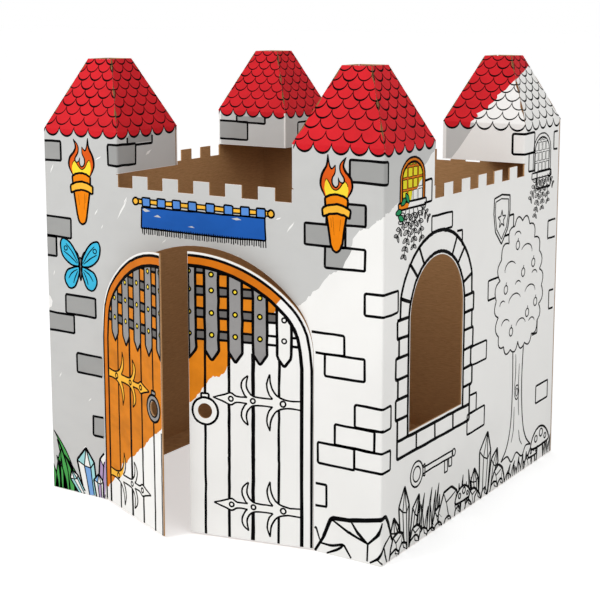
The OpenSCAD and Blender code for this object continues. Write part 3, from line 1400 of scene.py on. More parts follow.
    def butterfly(self) -> None:
        """Draw a butterfly over the bricks."""
        at = partial(moved, across=self.wing_at[0], up=self.wing_at[1])
        wings = ([(3, 4), (14, 34), (34, 58), (56, 66), (64, 50), (58, 24), (38, 6), (18, 0)],
                 [(3, -3), (22, -4), (44, -14), (52, -36), (40, -56), (22, -54), (10, -34)])
        veins = ([(8, 8), (26, 34), (46, 54)], [(10, 6), (32, 22), (54, 34)],
                 [(10, -8), (28, -18), (40, -34)], [(9, -12), (18, -28), (24, -44)])
        for flip in (False, True):
            for wing in wings:
                self.shape(at(wing, flip=flip), Pigment.WING_BLUE, 4.0, True)
            for vein in veins:
                self.curve(at(vein, flip=flip), 2.6, 0.4)
            self.curve(at([(2, 18), (10, 34), (22, 42)], flip=flip), 2.2, 0.7)
            self.trace(at(disc((47, 42), 5.5, 10), flip=flip), 2.4, True)
        body = [(0, 22), (5, 14), (4, -10), (0, -36), (-4, -10), (-5, 14)]
        self.shape(at(body), Pigment.IRON_DARK, 3.2, True)

    def planting(self) -> None:
        """Draw the grass and crystals at the left foot and the rocks at the right foot."""
        green, bare = Pigment.GRASS_GREEN, Pigment.BARE_WHITE
        blue, teal, lilac = Pigment.GEM_BLUE, Pigment.GEM_TEAL, Pigment.GEM_LILAC
        for u, height, lean, width in (
            (-436, 128, -30, 26), (-414, 150, -62, 30), (-464, 104, 10, 24), (-398, 92, -46, 26),
            (-447, 84, -22, 26), (-472, 70, -14, 16),
        ):
            self.blade((u, GROUND), height, lean, width, green, 2.8)
        self.gem((-318, GROUND), 134, 36, -7, (lilac, lilac, bare, bare, lilac, bare), 4.4)
        self.gem((-356, GROUND), 122, 56, 10, (bare, blue, teal, teal, bare, teal), 4.6)
        self.gem((-384, GROUND), 66, 28, 36, (teal, bare, teal, bare, teal, bare), 4.0)
        self.gem((-326, GROUND), 60, 30, 6, (bare, teal, bare, blue, bare, bare), 4.0)
        for path, ink in (
            ([(309, 2), (334, 44), (350, 86), (402, 92), (480, 108), (499, 112), (514, 84),
              (526, 50)], 8.6),
            ([(352, 84), (398, 62), (446, 46)], 6.0), ([(404, 88), (422, 64), (446, 46)], 6.4),
            ([(446, 46), (444, 6)], 6.0), ([(446, 46), (474, 74), (484, 100)], 6.4),
            ([(322, 24), (352, 22), (384, 32), (404, 4)], 5.4),
            ([(306, 24), (310, 62), (322, 30)], 4.6), ([(340, 2), (372, 18), (384, 32)], 5.4),
            ([(452, 4), (472, 16), (492, 44), (520, 60)], 5.4), ([(470, 14), (486, 4)], 5.0),
            ([(492, 44), (498, 20), (506, 3)], 4.6),
        ):
            self.line(path, ink, False, 8.0, 0.6)

    def draw(self) -> None:
        """Draw the whole front."""
        self.wash()
        self.masonry()
        for flip in (False, True):
            self.torch(self.torch_at if flip else -self.torch_at, flip)
        for draw in (self.banner, self.butterfly, self.planting):
            draw()
        self.cover(gate_outline(4.0))


@dataclass
class SidePrint(Quill):
    """Print on the right wall: windows, bricks, key, shield, tree and planting."""

    seed: int = 23
    window_at: float = -226.0
    spring: float = 527.0
    stone_in: float = 139.0
    stone_out: float = 188.0
    near_window: float = -355.0
    far_window: float = 360.0

    def window_stones(self) -> None:
        """Draw the stones round the window."""
        middle = (self.window_at, self.spring)
        inner = [(-365, 267)] + arc(middle, self.stone_in, 180, 0, 22) + [(-87, 266)]
        outer = [(-405, 541)] + arc(middle, self.stone_out, 168, 12, 20)[1:-1] + [(-48, 540)]
        left = [(-405, 541), (-417, 541), (-417, 500), (-409, 500), (-409, 457), (-423, 457),
                (-423, 409), (-412, 409), (-412, 364), (-422, 362), (-422, 318), (-413, 316),
                (-413, 226)]
        right = [(-48, 540), (-37, 540), (-37, 497), (-45, 497), (-45, 455), (-37, 453), (-37, 405),
                 (-47, 404), (-47, 360), (-38, 360), (-38, 315), (-50, 313), (-50, 225)]
        for path, width, corner in (
            (inner, 7.0, 3.0), (outer, 7.0, 3.0), (left + right[::-1], 6.5, 2.0),
            ([(-413, 267), (-50, 265)], 6.5, 3.0),
        ):
            self.line(on_side(path), width, False, corner)
        for v in (541, 500, 457, 409, 363, 317):
            self.line(on_side([(-418, v), (-365, v - 1)]), 6.0)
            self.line(on_side([(-87, v - 3), (-40, v - 2)]), 6.0)
        for y in (-323, -231, -138):
            self.line(on_side([(y, 266), (y + 1, 226)]), 6.0)
        reach = self.stone_in, self.stone_out
        for degrees in (120, 136, 161):
            for turn in (degrees, 180 - degrees):
                ends = [arc(middle, radius, turn, turn, 1)[0] for radius in reach]
                self.line(on_side(ends), 6.5)

    def masonry(self) -> None:
        """Draw the side's bricks."""
        whole, left, right = RunsOut
        self.bricks((
            (-262, -158, 714, 750, whole), (-300, -264, 787, 837, left), (-38, 42, 358, 405, left),
            (-48, -10, 240, 285, left), (-60, 38, 190, 240, whole), (45, 143, 503, 552, whole),
            (100, 188, 652, 700, whole), (275, 312, 798, 845, whole), (330, 418, 748, 793, whole),
            (412, 462, 605, 653, right), (432, 462, 410, 460, right), (360, 440, 165, 213, whole),
            (437, 462, 843, 890, right), (325, 357, 360, 407, left)), None, SIDE_AT, 4.6)
        self.line(on_side([(-133, 700), (-105, 700), (-105, 662)]), 4.6)

    def tower_window(self, at: float, low: float, high: float, coloured: bool) -> None:
        """Draw a barred tower window with its sill.

        Args:
            at: Middle of the window along the side.
            low: Height of its foot.
            high: Height of its crown.
            coloured: Whether it is coloured in, except for the lower right.
        """
        ink, pane_ink = (4.0, 1.5) if coloured else (3.0, 1.3)
        half, bar, sill = 57.0, 47.0, 64.0
        rise, frame_rise, gap = 46.0, 10.0, 2.6

        def crown(width: float, inset: float) -> Path:
            """Arched line from foot to foot."""
            bow = arc((at, high - rise), width, 180, 0, 14, (rise - inset) / width)
            return [(at - width, low)] + bow + [(at + width, low)]

        def head(u: float) -> float:
            """Highest point of a pane."""
            bow = math.sqrt(max(1.0 - (u / bar) ** 2, 0.0))
            return high - rise + (rise - frame_rise) * bow - gap

        outer, inner = crown(half, 0.0), crown(bar, frame_rise)
        if coloured:
            self.colour(Pigment.FRAME_ORANGE, on_side(outer))
            edge = [(bar, 46), (34, 40), (22, 26), (-2, 22), (-8, 0)]
            self.colour(Pigment.BARE_WHITE, on_side(moved([(bar, 0), *edge], at, low)))
        columns = [bar * share for share in (-1.0, -0.5, 0.0, 0.5, 1.0)]
        rows = [low + (high - low) * share for share in (0.0, 0.28, 0.54, 0.8, 1.0)]
        for left, right in zip(columns, columns[1:]):
            for foot, top in zip(rows, rows[1:]):
                spots = [left + gap + (right - left - 2 * gap) * i / 6 for i in range(7)]
                spots = [u for u in spots if head(u) > foot + gap + 2.0]
                if len(spots) < 3:
                    continue
                pane = [(at + spots[0], foot + gap), (at + spots[-1], foot + gap)]
                pane += [(at + u, min(top - gap, head(u))) for u in reversed(spots)]
                if coloured:
                    self.colour(Pigment.PANE_YELLOW, on_side(pane))
                self.line(on_side(pane), pane_ink, True, 0.5)
        for path in (outer, inner):
            self.line(on_side(path), ink)
        if coloured:
            shade = moved([(-sill, -14), (-22, -14), (-12, 1), (-sill, 1)], at, low)
            self.colour(Pigment.TORCH_ORANGE, on_side(shade))
        self.line(on_side(box_path(at - sill, at + sill, low - 14, low + 1)), ink, True)

    def sprigs(self) -> None:
        """Draw the leafy sprigs under both tower windows."""
        near, far = SIDE_AT + self.near_window, SIDE_AT + self.far_window
        for at, ink in ((near, 2.0), (far, 1.7)):
            for stem, size, pairs in (
                ([(-30, 780), (-72, 724)], 21, 4), ([(-14, 780), (-40, 676)], 22, 6),
                ([(4, 780), (6, 692)], 21, 5), ([(22, 780), (44, 706)], 20, 4),
                ([(38, 781), (78, 748)], 17, 3),
            ):
                self.frond(*moved(stem, at), size, pairs, ink)
        for u, v, turn in ((-62, 779, 0.1), (-40, 800, 0.5), (-24, 806, 2.2), (-52, 765, 2.7)):
            leaf = lozenge((near + u, v), turn, 28.0, 14.0)
            self.cover(leaf)
            self.shape(leaf, Pigment.LEAF_GREEN, 2.4, True)

    def key(self) -> None:
        """Draw an old key under the window."""
        at = partial(moved, across=SIDE_AT - 240.0)
        for radius, count, ink in ((30, 20, 3.6), (18, 16, 3.2)):
            self.trace(at(disc((-78, 166), radius, count)), ink, True)
        self.line(at([(-48, 172), (104, 172), (104, 158), (-48, 158)]), 3.6)
        self.line(at([(-48, 176), (-38, 180), (-38, 150), (-48, 154)]), 3.4)
        for u, deep in ((62, 30), (84, 22)):
            self.line(at([(u, 158), (u, 158 - deep), (u + 16, 158 - deep), (u + 16, 158)]), 3.4)
        self.trace(at(disc((110, 165), 9, 12)), 3.4, True)

    def shield(self) -> None:
        """Draw a plain shield with a star."""
        at, up = SIDE_AT + 116.0, 700.0
        rim = [(-46, 52), (0, 58), (46, 52), (48, 14), (36, -32), (0, -66), (-36, -32), (-48, 14)]
        self.cover(moved(rim, at, up))
        self.shape(moved(rim, at, up))
        self.line(moved([(u * 0.82, v * 0.82) for u, v in rim], at, up), 2.6, True)
        star = [(r * math.cos(t), r * math.sin(t)) for r, t in (
            (10.0 if i % 2 else 24.0, math.pi / 2 + i * math.pi / 5) for i in range(10))]
        self.line(moved(star, at, up - 4), 3.0, True, 1.0)

    def tree(self) -> None:
        """Draw a tall apple tree."""
        at = partial(moved, across=SIDE_AT + 236.0)
        clouds = [(-92, 366), (-124, 398), (-128, 448), (-142, 492), (-122, 540), (-116, 592),
                  (-72, 628), (-40, 668), (8, 676), (54, 662), (88, 622), (122, 582), (126, 532),
                  (142, 486), (126, 438), (118, 394), (84, 366), (40, 350), (-4, 362), (-50, 350)]
        lobes, shares = [], (0.0, 0.12, 0.3, 0.5, 0.7, 0.88, 1.0)
        for start, end in zip(clouds, clouds[1:] + clouds[:1]):
            a, b = Vector(start), Vector(end)
            out = Vector((a.y - b.y, b.x - a.x)) * 0.36
            lobes.append(at([a.lerp(b, t) + out * 4 * t * (1 - t) for t in shares]))
        trunk = ([(-34, 352), (-30, 250), (-36, 150), (-58, 92), (-92, 62)],
                 [(-92, 62), (-54, 66), (-26, 44), (4, 62), (40, 42), (64, 64), (96, 60)],
                 [(96, 60), (60, 92), (38, 150), (28, 250), (34, 352)])
        for outline, ink in (([at(smoothed(part)) for part in trunk], 3.8), (lobes, 3.4)):
            self.cover([spot for part in outline for spot in part])
            for part in outline:
                self.trace(part, ink, False, 1.0, 0.15)
        for middle, reach, first, last in (
            ((-60, 560), 34, 30, 190), ((38, 590), 36, -10, 150), ((-30, 470), 38, 20, 170),
            ((66, 480), 34, 0, 160), ((-84, 420), 24, 20, 170), ((12, 402), 30, 10, 170),
            ((-20, 640), 20, 10, 160), ((92, 524), 18, 0, 150), ((-104, 476), 16, 30, 190),
            ((80, 398), 20, 0, 150), ((-12, 512), 18, 20, 160),
        ):
            self.trace(at(arc(middle, reach, first, last, 10, 0.6)), 2.8, False, 0.4)
        for u, v in ((-86, 512), (20, 540), (84, 556), (-18, 616), (52, 428), (-48, 396),
                     (104, 448)):
            self.trace(at(disc((u, v), 11, 12)), 2.8, True)
            self.curve(at([(u, v + 11), (u + 3, v + 18)]), 2.4)
        for path in ([(-14, 330), (-12, 280), (-18, 236)], [(10, 300), (8, 220), (14, 160)],
                     [(-16, 190), (-18, 130), (-30, 98)], [(16, 120), (24, 92), (40, 74)]):
            self.curve(at(path), 2.6, 0.4)
        for radius, count, ink in ((13, 14, 3.0), (7, 12, 2.2)):
            self.trace(at(arc((-2, 226), radius, 0, 360, count, 1.5)[:-1]), ink, True)

    def planting(self) -> None:
        """Draw the strip of grass, stones, crystals and toadstools along the foot of the wall."""
        base = SIDE_AT
        for y, tall, wide, turn in ((-396, 98, 36, 20), (-338, 118, 38, -14), (-370, 152, 48, 4)):
            self.gem((base + y, GROUND), tall, wide, turn)
        self.tuft(base - 308, base - 196, 12.5, 62, 112)
        for y, width, height in ((-408, 70, 56), (-318, 62, 46), (-206, 66, 52), (-150, 116, 88)):
            self.stone((base + y, GROUND), width, height)
        self.tuft(base - 96, base - 22, 12.0, 58, 100)
        self.toadstool((base - 74, GROUND), 0.7)
        for y, tall, wide, turn in ((84, 112, 44, -16), (2, 92, 40, 13), (40, 166, 66, -4)):
            self.gem((base + y, GROUND), tall, wide, turn)
        self.tuft(base + 150, base + 322, 13.0, 20, 46)
        for y, width, height in ((-18, 60, 44), (126, 84, 60), (322, 58, 34)):
            self.stone((base + y, GROUND), width, height)
        self.pebbles(base - 420, base + 170, 42.0)
        self.tuft(base + 418, base + 464, 11.0, 30, 66)
        self.toadstool((base + 354, GROUND), 0.55)
        self.toadstool((base + 398, GROUND), 1.0)

    def draw(self) -> None:
        """Draw the whole side."""
        self.window_stones()
        self.masonry()
        self.tower_window(self.near_window, 797, 894, True)
        self.tower_window(self.far_window, 790, 892, False)
        for draw in (self.sprigs, self.key, self.shield, self.tree, self.planting):
            draw()


@dataclass
class HiddenPrint(Quill):
    """Plain brick print on the back and left walls, left uncoloured."""

    seed: int = 37
    corner: float = 5 * HALF
    brick_w: float = 100.0
    brick_h: float = 48.0

    def draw(self) -> None:
        """Draw the bricks round the folded corner, the groups of bricks, and the ground."""
        single, pair, stack = Bond
        wide, tall = self.brick_w, self.brick_h
        for left, low in ((-62, 716), (-38, 668), (-58, 330), (-30, 282), (-74, 234), (-48, 842)):
            self.brick(self.corner + left, self.corner + left + wide, low, low + tall)
        for left, low, bond in (
            (-930, 640, pair), (-926, 842, single), (-880, 250, stack), (-740, 500, single),
            (-640, 700, single), (-590, 350, pair), (-560, 160, single), (-420, 580, stack),
            (-330, 200, pair), (-260, 440, single), (-212, 842, single), (150, 560, stack),
            (140, 180, pair), (330, 390, single), (380, 690, single), (440, 220, stack),
            (560, 520, pair), (720, 330, single), (760, 660, pair), (800, 842, single),
            (810, 190, single), (112, 842, single),
        ):
            foot = low + self.hand.uniform(-8, 8)
            for across, up in bond.value:
                start, base = self.corner + left + across * wide, foot + up * tall
                self.brick(start, start + wide, base, base + tall)
        for middle in (-850, -610, -330, -100, 130, 400, 640, 850):
            at = self.corner + middle
            self.tuft(at - 62, at - 6, 12.0, 40, 84)
            self.stone((at + 8, GROUND), 92, self.hand.uniform(46, 70))
            self.stone((at + 62, GROUND), 52, 34)


@dataclass
class Tower:
    """One corner tower: the print on its inner flaps and its tiled roof."""

    name: str
    side_x: int
    side_y: int
    seed: int
    red: bool = True
    rows: tuple[float, ...] = (-15, 12, 39, 63, 86, 108, 130, 152, 174)
    reach: float = 140.0
    top: float = 192.0

    def middle(self) -> Point:
        """Middle of the tower in plan."""
        return (self.side_x * TOWER_AT, self.side_y * TOWER_AT)

    def ring(self) -> WallRing:
        """Unroll the tower's four faces from its front left corner.

        Returns:
            The faces as one ring.
        """
        x, y = self.middle()
        corners = box_path(x - TOWER_HALF, x + TOWER_HALF, y - TOWER_HALF, y + TOWER_HALF)
        folded = [False, True, True, True, False]
        return WallRing(corners + corners[:1], folded, 0.0, 0.5, 8 * TOWER_HALF - 0.5)

    def faces(self) -> dict[Side, RoofFace]:
        """Lay out the four roof faces, with folded and glued corners as they are.

        Returns:
            Faces by side.
        """
        made = {side: RoofFace(self.middle(), side) for side in Side}
        if self.side_x == self.side_y:
            lapped, glued = (Side.FRONT, Side.LEFT) if self.side_x < 0 else (Side.BACK, Side.RIGHT)
            made[lapped] = RoofFace(self.middle(), lapped, left_fold=False)
            made[glued] = RoofFace(self.middle(), glued, right_end=GLUED_END - TOWER_AT)
        return made

    def tiles(self, side: Side) -> Pen:
        """Draw one roof face's tiles.

        Args:
            side: Face to draw.

        Returns:
            The drawing.
        """
        pen = Pen(self.seed * 10 + side.value)
        shift = pen.hand.uniform(-8, 8)
        for i, low in enumerate(self.rows):
            width = 46.0 - 10.0 * i / (len(self.rows) - 1)
            depth = 23.0 - 4.0 * i / (len(self.rows) - 1)
            count = int(280 / width)
            for j in range(-count // 2, count // 2 + 1):
                u = shift + (j + (0.5 if i % 2 else 0.0)) * width
                if abs(u) > 150:
                    continue
                drop = pen.hand.uniform(-1.2, 1.2)
                bowl = arc((u, low + depth + drop), width / 2, 182, 358, 14, depth / (width / 2))
                last = len(bowl) - 1
                heavy = 4.0 if i == 0 else pen.hand.choice((1.9, 2.4, 3.4))
                swell = [abs(math.sin(math.pi * k / last)) ** 1.5 for k in range(last + 1)]
                pen.strokes.append(Stroke(bowl, [1.3 + heavy * s for s in swell], False))
        return pen

    def scallops(self, pen: Pen, end: float) -> Path:
        """Lower edge of the red along the lowest row of tiles.

        Args:
            pen: Drawing of the tiles.
            end: Where it ends on the right.

        Returns:
            Points from left to right.
        """
        lowest = [stroke for stroke in pen.strokes if min(v for _, v in stroke.points) < -8]
        return [p for stroke in sorted(lowest, key=lambda stroke: stroke.points[0][0])
                for p in stroke.points[1:-1] if -self.reach < p[0] < end]

    def roof(self) -> list[tuple[Pen, Wrap]]:
        """Draw and colour all four roof faces.

        Returns:
            Drawings with their faces.
        """
        unfinished = {
            Side.FRONT: [(-36, 2), (-20, 18), (-24, 26), (2, 40), (4, 50), (22, 66), (22, 78),
                         (40, 92), (52, 112), (62, 120), (66, 136), (80, 150), (100, 172),
                         (120, 192)],
            Side.RIGHT: [(-140, 101), (-110, 108), (-80, 117), (-48, 128), (-20, 136), (10, 146),
                         (36, 154), (60, 160), (80, 192)]}
        sheets: list[tuple[Pen, Wrap]] = []
        for side, face in self.faces().items():
            pen = self.tiles(side)
            edge: Path = []
            if self.red or side is Side.LEFT:
                edge = self.scallops(pen, self.reach) + [(self.reach, self.top)]
            elif side in unfinished:
                border = unfinished[side]
                edge = self.scallops(pen, border[0][0])
                edge += frayed(pen.hand, border, 3, (1.2, 1.2)) + border[-1:]
            if edge:
                pen.colour(Pigment.TILE_RED, edge + [(-self.reach, self.top)])
            self.cracks(pen)
            sheets.append((pen, face))
        return sheets

    def cracks(self, pen: Pen) -> None:
        """Show bare board in short splits along both hips.

        Args:
            pen: Drawing of the roof face.
        """
        slope = math.sin(ROOF_LEAN)
        for sign in (-1, 1):
            for low, high in ((26, 62), (84, 118), (150, 184)):
                start, end = low + pen.hand.uniform(-10, 10), high + pen.hand.uniform(-8, 8)
                inner = [(TOWER_HALF - 0.5 - v * slope - inset, v)
                         for v, inset in ((start, 0.4), ((start + end) / 2, 3.4), (end, 0.6))]
                outer = [(TOWER_HALF + 4.0 - v * slope, v) for v in (end, start)]
                pen.colour(Pigment.CREASE_BROWN, [(sign * u, v) for u, v in inner + outer])

    def flaps(self) -> list[tuple[Pen, Wrap]]:
        """Draw the print on the two inner flaps.

        Returns:
            Drawings with the tower's ring.
        """
        pen = Pen(self.seed * 10 + 7)
        low, high, width = FLAP_FOOT + 1.0, EAVE - 0.5, 2 * TOWER_HALF
        grey, brick = Pigment.WALL_GREY, Pigment.BRICK_GREY
        if self.side_x < 0 and self.side_y < 0:
            pen.colour(grey, box_path(width - BEND, 2 * width - 8, low, high),
                       ([(338, 858), (346, 866), (362, 870), (350, 860)],))
            pen.brick(width - 30, width + 68, 840, 890, brick)
            pen.line([(width + 38, 888), (width + 38, 905)])
            pen.colour(brick, box_path(width + 40, width + 132, 891, 910))
            pen.line([(width + 68, 886), (width + 132, 886), (width + 132, 906)])
            pen.brick(2 * width + 90, 2 * width + 186, 842, 890)
        elif self.side_x > 0 and self.side_y < 0:
            pen.colour(grey, box_path(3 * width + 12, 4 * width - 1, low, high))
            pen.colour(grey, box_path(0.6, BEND, low, high))
            pen.brick(4 * width - 84, 4 * width - 2, 842, 890, brick, RunsOut.RIGHT)
            pen.brick(2 * width + 60, 2 * width + 156, 842, 890)
        elif self.side_x < 0:
            pen.colour(grey, box_path(10.0, 2 * width - 12, low, high))
            pen.brick(6.0, 104, 838, 890, brick, RunsOut.LEFT)
            pen.colour(brick, box_path(66, 164, 890, 906))
            pen.line([(66, 890), (164, 887), (164, 906)])
            pen.line([(66, 890), (66, 906)])
            pen.brick(width + 66, width + 160, 842, 890)
        else:
            pen.colour(grey, [(10.0, low), (26.0, low + 2), (48, 852), (70, 884), (84, 904),
                              (90, high), (10.0, high)])
            pen.brick(width - 34, 2 * width - 172, 846, 898)
            pen.brick(3 * width + 60, 3 * width + 156, 842, 890)
        return [(pen, self.ring())]

    def build(self) -> None:
        """Print the roof and the flaps."""
        press(self.name + "_roof", self.roof(), "walls", "printed_board")
        press(self.name + "_flaps", self.flaps(), "walls", "printed_board")


@dataclass(kw_only=True)
class GateLeaf(Pen):
    """Print on one gate leaf: arched frame, planks, portcullis, strap hinges and ring."""

    name: str
    opening: float
    way: float
    border: Path
    bare: bool = False
    colour_from: float = 5.0
    free_edge: float = 303.6
    foot: float = 5.0
    spring: float = 420.0
    frame_in: float = 28.5
    plank_lines: tuple[float, ...] = (83.0, 146.0, 205.0, 264.0)
    plank_inks: tuple[float, ...] = (5.2, 7.6, 6.0, 5.2)
    bars: tuple[float, ...] = (70.0, 128.0, 188.0, 246.0, 302.5)
    bar_half: float = 17.0
    bar_foot: float = 443.0
    rails: tuple[Point, ...] = ((469, 489), (520, 540), (571, 591), (622, 641))
    rivets: tuple[float, ...] = (480.0, 531.0, 583.0, 625.0)
    straps: tuple[float, ...] = (335.0, 84.0)
    hole: Point = (264.2, 300.0)
    hole_r: float = 18.2
    ring_r: float = 32.0

    def arch(self, s: float, margin: float = 33.0) -> float:
        """Height of the arch at a distance from the hinge, by default of the frame's inner edge."""
        return arch_height(GATE_HALF - s, margin)

    def under_arch(self, s: float) -> float:
        """Height of the frame's inner edge where the planks reach it."""
        return self.arch(max(s, 34.0))

    def rim(self, margin: float) -> Path:
        """Line along the leaf's jamb and arch.

        Args:
            margin: Distance inside the gate's cut.

        Returns:
            Points from the foot to the free edge.
        """
        path = [(margin - 4.0, v) for v in (self.foot, 150.0, 300.0, self.spring)]
        path += [(GATE_HALF + u, v) for u, v in gate_arch(margin, 165.0, 90.0)]
        path = [p for p in path if p[0] <= self.free_edge]
        return path + [(self.free_edge, self.arch(self.free_edge, margin))]

    def border_at(self, s: float) -> float:
        """Height of the felt-pen colour's lower edge over a point.

        Args:
            s: Distance from the hinge.

        Returns:
            Height in millimetres.
        """
        for (a, v), (b, w) in zip(self.border, self.border[1:]):
            if a <= s <= b:
                return v + (w - v) * (s - a) / (b - a)
        return self.border[-1][1]

    def above(self, start: float, end: float, top: Callable[[float], float]) -> Path:
        """Outline of a field over the colour's lower edge, which is frayed.

        Args:
            start: Left end.
            end: Right end.
            top: Upper edge.

        Returns:
            The outline.
        """
        count = max(2, int((end - start) / 4.0))
        spots = [start + (end - start) * i / count for i in range(count + 1)]
        low = [(s, min(self.border_at(s) + self.hand.uniform(-2.5, 2.5),
                       top(s) - 1.0)) for s in spots]
        return low + [(s, top(s)) for s in reversed(spots)]

    def iron(self, s: float, v: float) -> bool:
        """Whether the ironwork is coloured in there."""
        return not self.bare or (s > 92.0 and v > self.border_at(s) - 60.0)

    def colours(self) -> None:
        """Colour the frame and the planks above the ragged edge."""
        first = self.colour_from
        if not self.bare:
            jamb = self.above(first, self.frame_in, lambda s: self.spring)
            self.colour(Pigment.FRAME_ORANGE, jamb)
        outer, inner = ([p for p in self.rim(margin) if p[0] > start and p[1] >= self.spring]
                        for margin, start in ((9.0, first - 1.0), (32.5, first + 14.0)))
        self.colour(Pigment.FRAME_ORANGE, outer + inner[::-1])
        planks = self.above(max(self.frame_in + 0.1, first), self.free_edge, self.under_arch)
        is_round_hole = self.hole[1] - 20.0 > self.border_at(self.hole[0])
        holes = [disc(self.hole, self.hole_r, 24)] if is_round_hole else []
        self.colour(Pigment.PLANK_ORANGE, planks, holes)

    def planks(self) -> None:
        """Ink the frame's lines and the joints between planks."""
        for margin, width in ((9.0, 5.2), (32.5, 6.8)):
            self.trace(smoothed(self.rim(margin), False, 2), width)
        for s, width in zip(self.plank_lines, self.plank_inks):
            foot, head = (s + 1.5, self.foot), (s - 1.0, 445.0)
            if abs(s - self.hole[0]) < 10.0:
                self.line([foot, (s, self.hole[1] - 32.0)], width, under=True)
                self.line([(s, self.hole[1] + 42.0), head], width, under=True)
            else:
                self.line([foot, (s, 200.0), head], width, under=True)
        if self.way > 0:
            self.line([(301.0, self.foot), (301.0, 250.0)], 3.4)

    def rail(self, low: float, high: float) -> None:
        """Draw one rail's pieces between the frame and the bars.

        Args:
            low: Lower edge.
            high: Upper edge.
        """
        half = self.bar_half
        edges = [31.0] + [e for bar in self.bars for e in (bar - half, bar + half)]
        for left, right in zip(edges[::2], edges[1::2]):
            right = min(right, self.free_edge)
            for v in (high, low):
                start = left
                while start < right and self.arch(start) < v:
                    start += 1.0
                if right - start > 4.0:
                    self.line([(start, v), (right, v)], 4.8)
            middle = 0.5 * (start + right)
            if right - start > 4.0 and self.iron(middle, low):
                top = [(s, min(high, self.arch(s))) for s in (right, middle, start)]
                self.colour(Pigment.IRON_DARK, [(start, low), (right, low), *top])

    def portcullis(self) -> None:
        """Draw the iron rails, bars and rivets over the planks."""
        for low, high in self.rails:
            self.rail(low, high)
        for bar in self.bars:
            left, right = bar - self.bar_half, min(bar + self.bar_half, self.free_edge)
            top = [(s, self.under_arch(s)) for s in (left, 0.5 * (left + right), right)]
            tip = [(right, self.bar_foot), (bar, 420.0), (left, self.bar_foot)]
            if bar > self.free_edge - 2:
                tip = [(self.free_edge, 421.0), (left, self.bar_foot)]
            shade = Pigment.IRON_GREY if self.iron(bar, 480.0) else Pigment.BARE_WHITE
            self.colour(shade, top + tip)
            self.line([top[-1]] + tip + [top[0]], 5.6, False, 2.0)
        for bar in self.bars:
            crown = self.arch(bar)
            for row in self.rivets:
                v = min(row, crown - 12.0)
                if row < crown + 6.0:
                    if self.iron(bar, v):
                        self.colour(Pigment.FLAME_YELLOW, disc((bar, v), 4.4, 10))
                    self.trace(disc((bar, v), 5.4, 12), 3.2, True, 1.0, 0.1)

    def hinges(self) -> None:
        """Draw both strap hinges."""
        outline = [(30, 10), (62, 9), (88, 18), (102, 40), (105, 66), (112, 44), (108, 22), (98, 9),
                   (140, 10), (156, 20), (162, 36), (158, 58), (171, 46), (174, 30), (166, 12),
                   (160, 7), (186, 7), (200, 14), (218, 8), (244, 0)]
        begun = [(30, 10), (62, 9), (88, 18), (102, 40), (105, 66), (110, 46), (98, 12), (84, -2),
                 (56, -8), (30, -10)]
        for v in self.straps:
            rim = [(s, v + w) for s, w in outline] + [(s, v - w) for s, w in reversed(outline[:-1])]
            is_done = not self.bare and v - 20.0 > self.border_at(160.0)
            self.colour(Pigment.BRASS if is_done else Pigment.BARE_WHITE, rim)
            if not self.bare and not is_done:
                self.colour(Pigment.BRASS, moved(begun, 0.0, v))
            for sign in (1, -1):
                for first, last in ((0, 5), (4, 8), (7, 12), (11, 16), (15, 20)):
                    self.curve([(s, v + sign * w) for s, w in outline[first:last]], 3.6, 0.8)
            for s, r in ((73, 6.5), (146, 5.5), (200, 5.5)):
                self.trace(disc((s, v), r, 12), 3.6, True, 1.0, 0.1)

    def ring(self) -> None:
        """Draw the ring round the finger hole."""
        shade = Pigment.BARE_WHITE if self.bare else Pigment.IRON_GREY
        outer = disc(self.hole, self.ring_r, 28)
        self.colour(shade, outer, (disc(self.hole, self.hole_r + 0.1, 24),))
        self.trace(outer, 4.6, True, 1.0, 0.2)
        if not self.bare:
            self.trace(disc(self.hole, 20.0, 24), 3.4, True, 1.0, 0.1)
        self.shape(box_path(255, 274, 331, 342), shade, 4.2)

    def build(self) -> None:
        """Draw the whole leaf and print it."""
        for draw in (self.colours, self.planks, self.portcullis, self.hinges, self.ring):
            draw()
        press(self.name, [(self, LeafFace(self.opening, self.way))], self.name, "gate_board")


